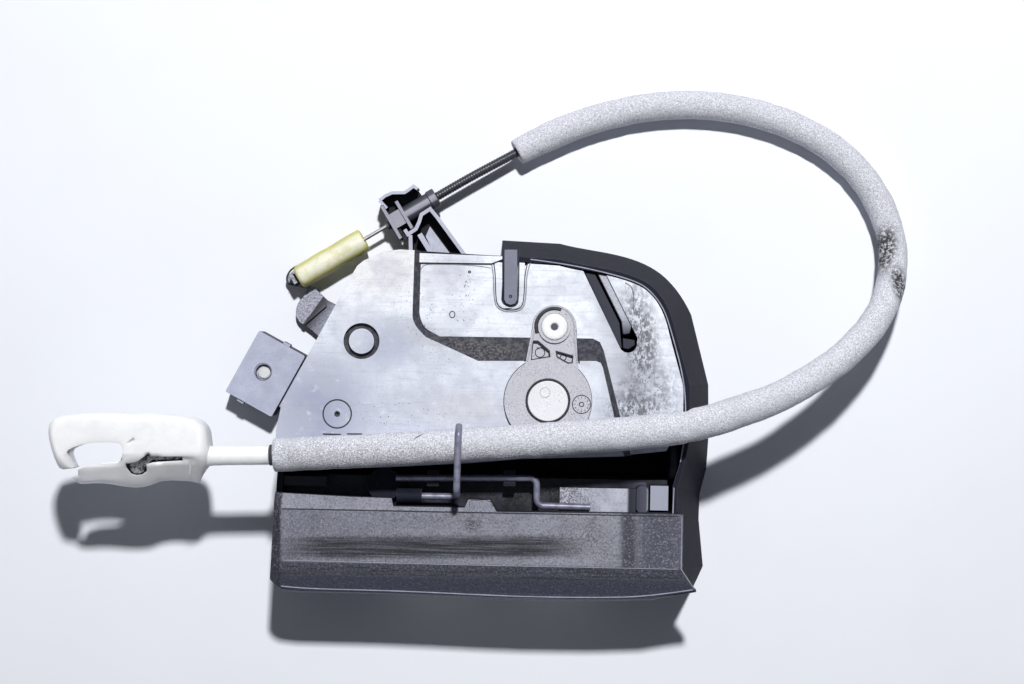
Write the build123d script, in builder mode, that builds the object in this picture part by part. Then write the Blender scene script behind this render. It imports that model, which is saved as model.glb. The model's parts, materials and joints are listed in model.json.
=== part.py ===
from build123d import *
import math
import os

# A car door latch with its plastic actuator housing, lying on its back.
# +Z points away from the surface it lies on, +X along the latch block,
# -Y out of the latch face. All sizes are millimetres.

# ---------------------------------------------------------------- heights
FLOOR = 2.4            # thickness of the housing floor
WALL = 2.4             # thickness of the housing wall
SKIN = 2.2             # thickness of the moulded covers
FIT = 0.15             # gap between mouldings that drop into each other
PANEL_FIT = 0.4        # gap between the cover's panel and the housing wall
SPLIT_Z = 46.8         # parting face between housing and cover
PANEL_Z = 49.0         # low panel of the cover
RIM_Z = 50.0           # top edge of the housing wall round the panel
DECK_Z = 55.0          # high deck of the cover
TRENCH_Z = 38.0        # floor of the rod trench

# ---------------------------------------------------------------- housing outline
# Top edge and foot of the housing wall, clockwise from the lower left corner.
# The wall is upright on the left and flares outwards on the right.
UPRIGHT = [
    (-85.2, -88.0), (-83.2, -38.5), (-83.1, -20.6), (-80.8, -8.5),
    (-48.8, 52.2), (-46.0, 54.6), (-37.0, 58.9), (-30.0, 59.8), (-22.0, 59.6),
]
RIM = UPRIGHT + [
    (14.6, 58.0), (14.6, 58.3), (40.6, 57.0), (58.4, 53.7), (73.5, 50.0),
    (81.0, 46.2), (88.3, 37.2), (92.1, 26.6), (99.2, 2.0), (99.4, -22.0),
    (97.2, -33.0), (94.4, -43.0), (94.4, -56.0), (97.0, -80.0), (95.5, -88.0),
]
FOOT = UPRIGHT + [
    (14.6, 58.0), (14.6, 67.9), (41.8, 66.8), (60.7, 63.4), (78.0, 59.4),
    (88.5, 54.2), (98.5, 44.2), (104.4, 34.2), (113.0, 1.5), (113.6, -22.0),
    (112.8, -38.0), (109.8, -50.0), (109.6, -62.0), (112.0, -84.0), (109.2, -90.5),
]
SHOULDER = [(11, 16)]  # the rounded stretch of both outlines

# ---------------------------------------------------------------- deck outline
DECK_EDGE = [(-83.2, -38.5)] + UPRIGHT[2:8]
DECK_TOP = DECK_EDGE + [
    (-23.6, 59.6), (-24.0, 31.1), (-23.3, 28.0), (-21.4, 25.0), (-17.9, 21.5),
    (-11.7, 18.8), (5.2, 11.4), (57.2, 12.3), (59.2, 11.5), (60.2, 9.4),
    (65.4, -11.3), (70.2, -29.4), (24.5, -31.4), (2.5, -33.6), (-32.6, -36.0),
]
DECK_FOOT = DECK_EDGE + [
    (-21.0, 59.6), (-21.3, 32.5), (-20.5, 29.0), (-19.1, 26.4), (-16.4, 24.2),
    (-12.0, 21.9), (-9.5, 22.0), (55.8, 22.2), (59.0, 20.7), (60.8, 16.8),
    (68.5, -11.9), (73.7, -29.5), (24.5, -31.4), (2.5, -33.6), (-32.6, -36.0),
]
STEP_BEND = [(8, 11)]  # the rounded inner corner of the step
LOWER_EDGE = [
    (-82.6, -38.5), (-32.6, -36.0), (2.5, -33.6), (24.5, -31.4), (70.2, -29.4),
    (88.6, -27.2),
]

# ---------------------------------------------------------------- latch
FACE_Y = -88.0         # inner face of the steel latch plate
PLATE_T = 2.0
MOUTH_X = 13.5         # centre of the striker mouth
MOUTH_R = 7.5          # half the width of the mouth
MOUTH_TOP = 22.7       # centre of its round end
STRIKER_DEPTH = 20.0   # how far the striker reaches past the plate
BLOCK_BACK = -66.0     # back of the latch block, where the tray begins
CLAW_X, CLAW_Z = -5.0, 26.0
CLAW_OPEN = -62.0      # direction of the claw's throat at rest, degrees
CLAW_RIM_R = 20.0
PAWL_X, PAWL_Z = 37.0, 27.0
MECH_T = 5.0           # thickness of claw and pawl
MECH_Y = FACE_Y + 1.0  # their face next to the plate
PIN_R = 4.0
BOLT_SPOTS = [(-27.0, 39.5), (54.0, 39.5), (54.0, 11.0)]
BOLT_R = 2.5           # minor radius of the M6 threads
COLLAR_T = 5.0

# ---------------------------------------------------------------- levers and lock train
RELEASE_X, RELEASE_Y = -46.2, 19.2
RELEASE_Z = 2.9        # underside of the release lever
CABLE_Z = 11.0         # height of the cable's free end
LOCK_X, LOCK_Y = 36.2, -5.6
LOCK_R = 19.2
LOCK_REACH = 32.6      # from the pivot to the roller
SHAFT_R = 5.0
RUN = 0.05             # radial running clearance of shafts
GEAR_MODULE = 1.0
GEAR_TEETH, PINION_TEETH = 44, 12
GEAR_Z, GEAR_T = 36.0, 5.0

PINION_X = LOCK_X - GEAR_MODULE * (GEAR_TEETH + PINION_TEETH) / 2 - 0.1
MOTOR_R = 12.0
ROTOR_R = 8.2
SPINDLE_R = 1.15

# ---------------------------------------------------------------- connector
CONNECTOR = Plane(origin=(-93.9, 3.2, 0), x_dir=(0.4695, 0.8829, 0), z_dir=(0, 0, 1))
CONNECTOR_L, CONNECTOR_W = 32.2, 24.4
CONNECTOR_LOW, CONNECTOR_HIGH = 1.0, 16.0
NECK_LOW, NECK_T, NECK_W = 4.2, 8.4, 21.0

# ---------------------------------------------------------------- cable
CORE_R = 0.9
CONDUIT_R = 2.1
FOAM_R = 7.0
CABLE_TURN = 31.5      # direction of the cable's free end, degrees
CABLE_EXIT = (-16.2, 87.0)
FOAM_START = (20.9, 108.6, 9.25)
ROUTE = [
    (-16.2, 87.0, 11.0), (-3.0, 95.089, 11.0), (9.8, 102.3, 10.2), (33.6, 115.8, 8.1),
    (53.9, 124.2, 7.6), (74.1, 130.0, 7.5), (101.2, 133.1, 7.5), (127.0, 130.7, 7.5),
    (152.8, 122.8, 7.5), (174.1, 109.8, 7.6), (188.5, 92.8, 7.9), (196.0, 74.1, 9.5),
    (196.1, 57.5, 16.0), (189.9, 39.5, 29.0), (176.1, 22.4, 40.0), (158.2, 8.7, 47.0),
    (138.9, -2.1, 52.5), (118.5, -9.4, 57.5), (98.2, -15.6, 61.5), (76.5, -18.2, 64.3),
    (50.4, -20.8, 65.4), (15.6, -23.7, 65.4), (-19.2, -26.9, 63.4), (-54.1, -29.3, 62.7),
    (-82.4, -31.1, 62.7),
]
FITTING_TURN = 181.8   # direction of the end fitting's stem, degrees


def inset(points, distance):
    """Points of a clockwise outline moved inwards by distance, mitred at the corners."""
    moved = []
    count = len(points)
    for i, (x, y) in enumerate(points):
        x0, y0 = points[i - 1]
        x1, y1 = points[(i + 1) % count]
        before = math.hypot(x - x0, y - y0)
        after = math.hypot(x1 - x, y1 - y)
        n0 = ((y - y0) / before, (x0 - x) / before)
        n1 = ((y1 - y) / after, (x - x1) / after)
        scale = distance / (1 + n0[0] * n1[0] + n0[1] * n1[1])
        moved.append((x + scale * (n0[0] + n1[0]), y + scale * (n0[1] + n1[1])))
    return moved


def outline(points, bends=()):
    """Closed face with straight sides, and one spline through each run in bends."""
    starts = dict(bends)
    with BuildSketch() as shape:
        with BuildLine():
            i = 0
            while i < len(points):
                if i in starts:
                    Spline(*points[i:starts[i] + 1])
                    i = starts[i]
                else:
                    Line(points[i], points[(i + 1) % len(points)])
                    i += 1
        make_face()
    return shape.sketch


def polar(x, y, radius, degrees):
    """The point at radius and angle from (x, y)."""
    a = math.radians(degrees)
    return (x + radius * math.cos(a), y + radius * math.sin(a))


def corner_radii(points):
    """Largest arc at each inner point: 0.45 of the shorter run over tan(half the turn)."""
    radii = []
    for a, b, c in zip(points, points[1:], points[2:]):
        first, second = Vector(*b) - Vector(*a), Vector(*c) - Vector(*b)
        half = math.radians(first.get_angle(second) / 2)
        radii.append(0.45 * min(first.length, second.length) / math.tan(half))
    return radii


def gear_face(teeth, bore, backlash=0.14):
    """Spur gear face with involute flanks, its tooth 0 on +X."""
    pitch = GEAR_MODULE * teeth / 2
    base = pitch * math.cos(math.radians(20))
    tip, root = pitch + GEAR_MODULE, pitch - 1.25 * GEAR_MODULE
    inv_pitch = math.tan(math.radians(20)) - math.radians(20)
    half = math.pi / (2 * teeth) - backlash / (2 * pitch)

    def flank(radius):
        if radius <= base:
            return half + inv_pitch
        a = math.acos(base / radius)
        return half + inv_pitch - (math.tan(a) - a)

    side = [root, max(base, root + 0.1), pitch, tip]
    points = []
    for i in range(teeth):
        centre = 2 * math.pi * i / teeth
        for r in side:
            points.append((r, centre - flank(r)))
        for r in reversed(side):
            points.append((r, centre + flank(r)))
    with BuildSketch() as face:
        with BuildLine():
            Polyline(*[(r * math.cos(a), r * math.sin(a)) for r, a in points], close=True)
        make_face()
        Circle(bore, mode=Mode.SUBTRACT)
    return face.sketch


def rod(points, radius, bend):
    """Round rod along straight runs with equal bends."""
    with BuildPart() as bar:
        with BuildLine():
            path = FilletPolyline(*points, radius=bend)
        with BuildSketch(Plane(origin=path @ 0, z_dir=path % 0)):
            Circle(radius)
        sweep(path=path)
    return bar.part


# ================================================================ casing
with BuildPart() as housing:
    with BuildSketch():
        add(outline(FOOT, SHOULDER))
    with BuildSketch(Plane.XY.offset(RIM_Z)):
        add(outline(RIM, SHOULDER))
    loft(ruled=True)
    with BuildSketch(Plane.XY.offset(FLOOR)):
        add(outline(inset(FOOT, WALL + 0.5), SHOULDER))
    with BuildSketch(Plane.XY.offset(RIM_Z + 1)):
        add(outline(inset(RIM, WALL), SHOULDER))
    loft(ruled=True, mode=Mode.SUBTRACT)
    # the wall steps down where the deck and the latch cover sit on it
    with BuildSketch(Plane.XY.offset(SPLIT_Z)):
        with BuildLine():
            Polyline((-95, -100), (-95, 70), (-20.8, 70), (-20.8, -54.5), (120, -54.5),
                     (120, -100), close=True)
        make_face()
    extrude(amount=10, mode=Mode.SUBTRACT)
    # window for the latch plate
    with BuildSketch(Plane.XZ.offset(70)):
        with Locations((4.9, (FLOOR + SPLIT_Z) / 2)):
            Rectangle(173, SPLIT_Z - FLOOR)
    extrude(amount=30, mode=Mode.SUBTRACT)
    # striker mouth through the floor
    with BuildSketch(Plane.XY.offset(-1)):
        with Locations((MOUTH_X, FACE_Y)):
            Rectangle(2 * MOUTH_R + 1, 2 * STRIKER_DEPTH + 6)
    extrude(amount=FLOOR + 2, mode=Mode.SUBTRACT)
    # nothing stands in front of the latch plate
    with BuildSketch(Plane.XZ.offset(-FACE_Y)):
        with Locations((3.0, 25.0)):
            Rectangle(180, 60)
    extrude(amount=12, mode=Mode.SUBTRACT)
    # slot that the release lever swings in, through the left wall
    with BuildSketch(Plane.XY.offset(FLOOR)):
        with BuildLine():
            Polyline((-90, 22), (-66, 16), (-46, 34), (-46, 50), (-58, 62), (-90, 60), close=True)
        make_face()
    extrude(amount=6.4, mode=Mode.SUBTRACT)
    # socket that the connector's neck fills
    with BuildSketch(CONNECTOR.offset(NECK_LOW)):
        with Locations((0, -CONNECTOR_W / 2 - 8.0)):
            Rectangle(NECK_W, 14.0)
    extrude(amount=NECK_T, mode=Mode.SUBTRACT)
    # cradle of the lock motor
    with BuildSketch(Plane.XY.offset(FLOOR)):
        with Locations((PINION_X, LOCK_Y)):
            Circle(MOTOR_R + 2.0)
            Circle(MOTOR_R + FIT, mode=Mode.SUBTRACT)
    extrude(amount=9.0)
    # stiffening ribs under the floor, left between shallow pockets
    with BuildSketch():
        with Locations((-20, 8)):
            with GridLocations(26, 22, 4, 3):
                RectangleRounded(23, 19, 2)
    extrude(amount=0.8, mode=Mode.SUBTRACT)
    # shallow tongue that clips over the panel from the rim
    with BuildSketch(Plane.XY.offset(SPLIT_Z + 1.2)):
        with BuildLine():
            Polyline((15.7, 58.6), (15.0, 39.7))
            ThreePointArc((15.0, 39.7), (18.1, 36.6), (21.2, 39.7))
            Polyline((21.2, 39.7), (22.3, 58.2), (15.7, 58.6))
        make_face()
    extrude(amount=2.6)
    with Locations((18.1, 39.9, SPLIT_Z + 3.8)):
        Hole(0.9, 1.0)
housing.part.label = "housing"

with BuildPart() as cover:
    with BuildSketch(Plane.XY.offset(SPLIT_Z)):
        add(outline(inset(RIM, WALL + PANEL_FIT), SHOULDER))
        with BuildLine():
            Polyline(*LOWER_EDGE, (89.3, -27.2), (97.6, -10.5), (120, -10.5), (120, -120),
                     (-120, -120), (-120, -38.5), close=True)
        make_face(mode=Mode.SUBTRACT)
    extrude(amount=SKIN)
    with BuildSketch(Plane.XY.offset(SPLIT_Z)):
        add(outline(DECK_FOOT, STEP_BEND))
    extrude(amount=PANEL_Z - SPLIT_Z)
    with BuildSketch(Plane.XY.offset(PANEL_Z)):
        add(outline(DECK_FOOT, STEP_BEND))
    with BuildSketch(Plane.XY.offset(DECK_Z)):
        add(outline(DECK_TOP, STEP_BEND))
    loft(ruled=True)
    with BuildSketch(Plane.XY.offset(SPLIT_Z - 1)):
        add(outline(inset(DECK_TOP, SKIN + 0.9), STEP_BEND))
    extrude(amount=DECK_Z - SKIN - SPLIT_Z + 1, mode=Mode.SUBTRACT)
    # wall along the trench
    with BuildSketch(Plane.XY.offset(TRENCH_Z + 2)):
        with BuildLine():
            Polyline(*LOWER_EDGE, *[(x, y + SKIN) for x, y in reversed(LOWER_EDGE)], close=True)
        make_face()
    extrude(amount=SPLIT_Z - TRENCH_Z)
    # notch round the clip tongue
    with BuildSketch(Plane.XY.offset(SPLIT_Z - 1)):
        with BuildLine():
            Polyline((7.4, 60), (9.5, 55.4), (13.4, 53.0), (13.0, 39.7))
            ThreePointArc((13.0, 39.7), (18.1, 34.5), (23.3, 39.7))
            Polyline((23.3, 39.7), (23.7, 53.0), (27.4, 55.2), (29.5, 60), (7.4, 60))
        make_face()
    extrude(amount=6, mode=Mode.SUBTRACT)
    # slanted key slot with a collar below it
    for grow, low, sign in ((2.0, SPLIT_Z - 8.0, Mode.ADD), (0.0, SPLIT_Z - 9.0, Mode.SUBTRACT)):
        with BuildSketch(Plane.XY.offset(low)):
            with BuildLine():
                Polyline((50.9 - grow, 52.3 + grow), (61.4 + grow, 50.4 + grow),
                         (75.6 + grow, 22.9), (75.4 + grow, 19.4))
                ThreePointArc((75.4 + grow, 19.4), (71.7, 16.2 - grow), (68.0 - grow, 18.2))
                Line((68.0 - grow, 18.2), (50.9 - grow, 52.3 + grow))
            make_face()
        extrude(amount=8.0 if grow else 12, mode=sign)
    with BuildSketch(Plane.XY.offset(SPLIT_Z - 8.0)):
        add(outline(RIM, SHOULDER))
        add(outline(inset(RIM, WALL + 0.6), SHOULDER), mode=Mode.SUBTRACT)
    extrude(amount=8.0, mode=Mode.SUBTRACT)
    # holes for the release pivot boss, the plug and the lock lever shaft
    with Locations((RELEASE_X, RELEASE_Y, DECK_Z)):
        Hole(7.9, 8)
    with Locations((-56.3, -13.0, DECK_Z)):
        Hole(6.35, 8)
    with BuildSketch(Plane.XY.offset(DECK_Z - SKIN - 6)):
        with Locations((LOCK_X, LOCK_Y)):
            Circle(SHAFT_R + 2.5)
    extrude(amount=6.2)
    with Locations((LOCK_X, LOCK_Y, DECK_Z)):
        Hole(SHAFT_R + RUN, 12)
cover.part.label = "cover"

with BuildPart() as pivot_boss:
    with BuildSketch(Plane.XY.offset(DECK_Z - SKIN - 3)):
        with Locations((RELEASE_X, RELEASE_Y)):
            Circle(10.5)
    extrude(amount=3)
    with BuildSketch(Plane.XY.offset(DECK_Z - SKIN)):
        with Locations((RELEASE_X, RELEASE_Y)):
            Circle(5.9)
    extrude(amount=SKIN)
    fillet(pivot_boss.faces().sort_by(Axis.Z)[-1].edges(), 0.5)
pivot_boss.part.label = "release_pivot_boss"

with BuildPart() as pivot_plug:
    with BuildSketch(Plane.XY.offset(DECK_Z - SKIN)):
        with Locations((-56.3, -13.0)):
            Circle(6.1)
    extrude(amount=SKIN)
    with BuildSketch(Plane.XY.offset(DECK_Z - SKIN - 2)):
        with Locations((-56.3, -13.0)):
            Circle(8.0)
    extrude(amount=2)
    with Locations((-56.3, -13.0, DECK_Z)):
        CounterBoreHole(0.6, 1.1, 0.5, 1.2)
pivot_plug.part.label = "deck_plug"

# ================================================================ latch block
with BuildPart() as latch_body:
    with BuildSketch(Plane.XY.offset(FLOOR + 0.1)):
        with BuildLine():
            Polyline((-81.2, FACE_Y), (-80.5, BLOCK_BACK), (91.0, BLOCK_BACK), (91.0, FACE_Y), close=True)
        make_face()
    extrude(amount=TRENCH_Z - FLOOR - 0.1)
    # raised part under the latch cover
    with BuildSketch(Plane.XY.offset(TRENCH_Z)):
        with Locations((14.0, (FACE_Y + BLOCK_BACK) / 2)):
            Rectangle(96, BLOCK_BACK - FACE_Y)
    extrude(amount=8.4)
    # pocket of the claw and pawl, open towards the latch face
    with BuildSketch(Plane.XZ.offset(-FACE_Y + 1)):
        with Locations((13.0, 25.3)):
            Rectangle(92.0, 43.0)
    extrude(amount=-15, mode=Mode.SUBTRACT)
    # striker mouth, right through to the tray behind
    with BuildSketch(Plane.XZ.offset(-FACE_Y + 1)):
        with Locations((MOUTH_X, (MOUTH_TOP + MOUTH_R) / 2)):
            Rectangle(2 * MOUTH_R + 1, MOUTH_TOP + MOUTH_R + 1)
    extrude(amount=FACE_Y - BLOCK_BACK - 2, mode=Mode.SUBTRACT)
    # weight pockets under the two ends of the cover
    for low, high in ((-78.0, -38.0), (66.0, 88.0)):
        with BuildSketch(Plane.XY.offset(FLOOR + 3)):
            with Locations(((low + high) / 2, BLOCK_BACK - 8.0)):
                Rectangle(high - low, 21.0)
        extrude(amount=60, mode=Mode.SUBTRACT)
    # rest of the claw's and pawl's pins
    for x, z in ((CLAW_X, CLAW_Z), (PAWL_X, PAWL_Z)):
        with BuildSketch(Plane.XZ.offset(-FACE_Y - 14)):
            with Locations((x, z)):
                Circle(PIN_R + FIT)
        extrude(amount=-8, mode=Mode.SUBTRACT)
latch_body.part.label = "latch_body"

# the tray behind the latch block closes the striker mouth and carries the rods
with BuildPart() as trench_tray:
    with BuildSketch(Plane.XY.offset(FLOOR + 0.1)):
        with BuildLine():
            Polyline((-80.5, BLOCK_BACK), (-79.8, -41.0), (91.0, -41.0), (91.0, BLOCK_BACK), close=True)
        make_face()
    extrude(amount=TRENCH_Z - FLOOR - 0.1)
    # raised part under the latch cover
    with BuildSketch(Plane.XY.offset(TRENCH_Z)):
        with Locations((14.0, (BLOCK_BACK - 57.0) / 2)):
            Rectangle(96, -57.0 - BLOCK_BACK)
    extrude(amount=8.4)
    # shelf, column and ledges along the trench
    with BuildSketch(Plane.XY.offset(TRENCH_Z)):
        with Locations((59.6, -50.4)):
            Rectangle(34, 11.6)
    extrude(amount=5.0)
    with BuildSketch(Plane.XY.offset(TRENCH_Z)):
        with Locations((79.2, -49.0)):
            RectangleRounded(5.2, 12, 2.2)
    extrude(amount=8.6)
    with BuildSketch(Plane.XY.offset(TRENCH_Z)):
        with Locations((86.9, -48.4)):
            Rectangle(8.0, 11.0)
    extrude(amount=7.0)
    with BuildSketch(Plane.XY.offset(TRENCH_Z)):
        with Locations((-71.0, -43.6)):
            Rectangle(19.0, 4.4)
    extrude(amount=7.0)
trench_tray.part.label = "trench_tray"

with BuildPart() as latch_plate:
    with BuildSketch(Plane.XZ.offset(-FACE_Y)):
        with BuildLine():
            Polyline((-34, 8), (-34, 43), (-30, 46.5), (58, 46.5), (62, 42.5), (62, 6.5),
                     (58, 3), (28, 3), (24, 0.4), (3, 0.4), (-1, 3), (-29, 3), close=True)
        make_face()
        with Locations((MOUTH_X, 0)):
            Rectangle(2 * MOUTH_R, 2 * MOUTH_TOP, mode=Mode.SUBTRACT)
        with Locations((MOUTH_X, MOUTH_TOP)):
            Circle(MOUTH_R, mode=Mode.SUBTRACT)
    extrude(amount=PLATE_T)
    # threaded collars behind the plate
    with BuildSketch(Plane.XZ.offset(-FACE_Y)):
        with Locations(*BOLT_SPOTS):
            Circle(4.6)
    extrude(amount=-COLLAR_T + PLATE_T)
    with BuildSketch(Plane.XZ.offset(-FACE_Y + PLATE_T + 1)):
        with Locations(*BOLT_SPOTS):
            Circle(BOLT_R)
    extrude(amount=-COLLAR_T - 3, mode=Mode.SUBTRACT)
    # seats of the two pins
    with BuildSketch(Plane.XZ.offset(-FACE_Y + PLATE_T + 1)):
        with Locations((CLAW_X, CLAW_Z), (PAWL_X, PAWL_Z)):
            Circle(PIN_R - 1.0)
    extrude(amount=-4, mode=Mode.SUBTRACT)
    # top flange bent back under the latch cover
    with BuildSketch(Plane.XY.offset(46.5)):
        with Locations((14, FACE_Y + 3.2)):
            Rectangle(80, 10)
    extrude(amount=1.2)
latch_plate.part.label = "latch_plate"


def shouldered_pin(x, z, length):
    """Pin riveted flush in the plate, its shoulder against the plate's inner face."""
    with BuildPart() as pin:
        with BuildSketch(Plane.XZ.offset(-FACE_Y)):
            with Locations((x, z)):
                Circle(PIN_R)
        extrude(amount=-length)
        with BuildSketch(Plane.XZ.offset(-FACE_Y)):
            with Locations((x, z)):
                Circle(PIN_R - 1.0)
        extrude(amount=PLATE_T)
    return pin.part


with BuildPart() as claw_pin:
    add(shouldered_pin(CLAW_X, CLAW_Z, 18))
claw_pin.part.label = "claw_pin"

with BuildPart() as pawl_pin:
    add(shouldered_pin(PAWL_X, PAWL_Z, 18))
pawl_pin.part.label = "pawl_pin"


def claw_point(radius, degrees):
    """A point of the claw, its angle counted from the middle of its throat."""
    return polar(CLAW_X, CLAW_Z, radius, CLAW_OPEN + degrees)


with BuildPart() as claw:
    with BuildSketch(Plane.XZ.offset(-MECH_Y)):
        with BuildLine():
            ThreePointArc(claw_point(21, -42), claw_point(21.2, -32), claw_point(21, -20))
            Line(claw_point(21, -20), claw_point(25, 17))
            ThreePointArc(claw_point(25, 17), claw_point(25, 26), claw_point(25, 33))
            Line(claw_point(25, 33), claw_point(16.5, 38))
            Line(claw_point(16.5, 38), claw_point(16.0, 88))
            Line(claw_point(16.0, 88), claw_point(CLAW_RIM_R, 90))
            ThreePointArc(claw_point(CLAW_RIM_R, 90), claw_point(CLAW_RIM_R, 122),
                          claw_point(CLAW_RIM_R, 152))
            Spline(claw_point(CLAW_RIM_R, 152), claw_point(15.5, 175), claw_point(13, 215),
                   claw_point(14, 262), claw_point(18, 295), claw_point(21, 318))
        make_face()
        with Locations((CLAW_X, CLAW_Z)):
            with Locations(Rotation(0, 0, CLAW_OPEN)):
                with Locations((18.5, 0)):
                    Circle(6.6, mode=Mode.SUBTRACT)
                with Locations((18.5 + 15, 0)):
                    Rectangle(30, 13.2, mode=Mode.SUBTRACT)
            Circle(PIN_R + RUN, mode=Mode.SUBTRACT)
    extrude(amount=-MECH_T)
claw.part.label = "claw"

TIP_LOW = polar(CLAW_X, CLAW_Z, CLAW_RIM_R + 0.4, 29)
TIP_HIGH = polar(CLAW_X, CLAW_Z, CLAW_RIM_R + 0.4, 40)
with BuildPart() as pawl:
    with BuildSketch(Plane.XZ.offset(-MECH_Y)):
        with BuildLine():
            ThreePointArc(TIP_LOW, polar(CLAW_X, CLAW_Z, CLAW_RIM_R + 0.4, 34.5), TIP_HIGH)
            Polyline(TIP_HIGH, (13.0, 41.6), (17.5, 42.6))
            Spline((17.5, 42.6), (27.0, 40.2), (PAWL_X, 35.2), tangents=((1, 0), (1, 0)))
            ThreePointArc((PAWL_X, 35.2), (PAWL_X + 8.2, PAWL_Z), (PAWL_X, PAWL_Z - 8.2))
            Spline((PAWL_X, PAWL_Z - 8.2), (29.8, 27.5), (26.0, 35.4), (18.2, 37.9))
            Line((18.2, 37.9), TIP_LOW)
        make_face()
        with Locations((PAWL_X, PAWL_Z)):
            Circle(PIN_R + RUN, mode=Mode.SUBTRACT)
    extrude(amount=-MECH_T)
pawl.part.label = "pawl"


def torsion_spring(x, z, radius, turns, start):
    """Coil round a latch pin, lying behind the moving piece."""
    pitch = 1.7
    with BuildPart() as coil:
        with BuildLine() as line:
            Helix(pitch, pitch * turns, radius, center=(x, start, z), direction=(0, 1, 0))
        with BuildSketch(Plane(origin=line.line @ 0, z_dir=line.line % 0)):
            Circle(0.6)
        sweep(path=line.line)
    return coil.part


with BuildPart() as claw_spring:
    add(torsion_spring(CLAW_X, CLAW_Z, 6.0, 3, MECH_Y + MECH_T + 1.0))
claw_spring.part.label = "claw_spring"

with BuildPart() as pawl_spring:
    add(torsion_spring(PAWL_X, PAWL_Z, 6.0, 3, MECH_Y + MECH_T + 1.0))
pawl_spring.part.label = "pawl_spring"

with BuildPart() as mouth_buffer:
    with BuildSketch(Plane.XZ.offset(-FACE_Y - 8.5)):
        with BuildLine():
            Polyline((MOUTH_X - 9, 33.2), (MOUTH_X - 9, 38.2), (MOUTH_X + 9, 38.2),
                     (MOUTH_X + 9, 33.2), (MOUTH_X + 6.5, MOUTH_TOP + 5.4))
            ThreePointArc((MOUTH_X + 6.5, MOUTH_TOP + 5.4), (MOUTH_X, MOUTH_TOP + MOUTH_R + 0.9),
                          (MOUTH_X - 6.5, MOUTH_TOP + 5.4))
            Line((MOUTH_X - 6.5, MOUTH_TOP + 5.4), (MOUTH_X - 9, 33.2))
        make_face()
    extrude(amount=-5.4)
mouth_buffer.part.label = "mouth_buffer"


LID_X = (-85.3, 97.0)
LID_EDGE = [            # plan of the latch cover, clockwise from the lower left
    (-85.3, -87.0), (-83.6, -48.5), (-50.0, -49.7), (-32.0, -50.0), (-31.0, -53.4),
    (0.5, -53.4), (2.0, -50.0), (11.5, -50.0),
    (14.6, -54.9), (96.8, -54.6), (96.6, -79.4), (103.4, -88.2), (83.0, -92.1),
    (61.0, -93.1), (30.0, -93.3), (7.9, -92.8), (-14.2, -92.1), (-36.3, -91.6),
    (-71.7, -91.4), (-80.2, -90.6),
]


def lid_profile(shift):
    """Section of the latch cover in Y and Z, thinned by shift."""
    with BuildSketch(Plane.YZ.offset(LID_X[0] - 1 + shift)) as section:
        with BuildLine():
            Polyline((-48.4 - shift, SPLIT_Z - 1), (-48.4 - shift, 50.6 - shift),
                     (-55.4, 54.6 - shift), (-78.3, 57.0 - shift), (-91.0, 51.6 - shift),
                     (-96.0 + shift, 50.4 - shift), (-96.0 + shift, SPLIT_Z - 1), close=True)
        make_face()
    return section.sketch


with BuildPart() as latch_cover:
    add(extrude(lid_profile(0.0), amount=LID_X[1] - LID_X[0] + 9, mode=Mode.PRIVATE))
    # sloping left end
    with BuildSketch(Plane.XZ.offset(40)):
        with BuildLine():
            Polyline((-90, 40), (-90, 60), (-78.0, 60), (-79.2, 56.6), (-85.4, 50.0),
                     (-85.4, 40), close=True)
        make_face()
    extrude(amount=60, mode=Mode.SUBTRACT)
    with BuildSketch(Plane.XY.offset(SPLIT_Z - 2)) as plan:
        add(outline(LID_EDGE))
    extrude(amount=20, mode=Mode.INTERSECT)
    # hollow
    with BuildPart(mode=Mode.SUBTRACT):
        add(extrude(lid_profile(1.8), amount=LID_X[1] - LID_X[0] + 6, mode=Mode.PRIVATE))
        with BuildSketch(Plane.XZ.offset(40)):
            with BuildLine():
                Polyline((-90, 40), (-90, 60), (-75.6, 60), (-77.0, 55.6), (-83.3, 48.8),
                         (-83.3, 40), close=True)
            make_face()
        extrude(amount=60, mode=Mode.SUBTRACT)
        with BuildSketch(Plane.XY.offset(SPLIT_Z - 4)):
            add(outline(inset(LID_EDGE, 1.9)))
        extrude(amount=24, mode=Mode.INTERSECT)
    with BuildSketch(Plane.XY.offset(30)):
        Rectangle(300, 300)
    extrude(amount=SPLIT_Z - 30, mode=Mode.SUBTRACT)
    # bead along the lower edge
    with BuildLine():
        bead_path = Polyline(*[(x, y - 0.2, 50.3) for x, y in reversed(LID_EDGE[11:])])
    with BuildSketch(Plane(origin=bead_path @ 0, z_dir=bead_path % 0)):
        Circle(0.8)
    sweep(path=bead_path, transition=Transition.ROUND)
latch_cover.part.label = "latch_cover"

with BuildPart() as face_seal:
    with BuildSketch(Plane.XZ.offset(-FACE_Y + 0.2)):
        with Locations((4.2, 24.8)):
            RectangleRounded(169, 43.2, 4)
        with Locations((14, 23)):
            Rectangle(97, 48, mode=Mode.SUBTRACT)
    extrude(amount=1.6)
face_seal.part.label = "face_seal"

# ================================================================ rods in the trench
ROD_R = 1.5
ROD_Z = 48.0
OVER_Z = 74.4          # the hook rod's height over the cable

with BuildPart() as rod_bush:
    with BuildSketch(Plane.XY.offset(TRENCH_Z)):
        with Locations((-36.0, -44.6)):
            Circle(3.2)
    extrude(amount=5.8)
    for z, r in ((TRENCH_Z + 1.4, 6.8), (TRENCH_Z + 4.2, 7.4)):
        with BuildSketch(Plane.XY.offset(z)):
            with Locations((-36.0, -44.6)):
                Circle(r)
        extrude(amount=1.4)
rod_bush.part.label = "rod_bush"

with BuildPart() as lock_link:
    add(rod([(-30.4, -41.3, ROD_Z), (32.1, -40.2, ROD_Z), (32.3, -52.4, ROD_Z),
             (56.0, -52.7, ROD_Z)], ROD_R, 3.2))
lock_link.part.label = "lock_link"

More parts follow.
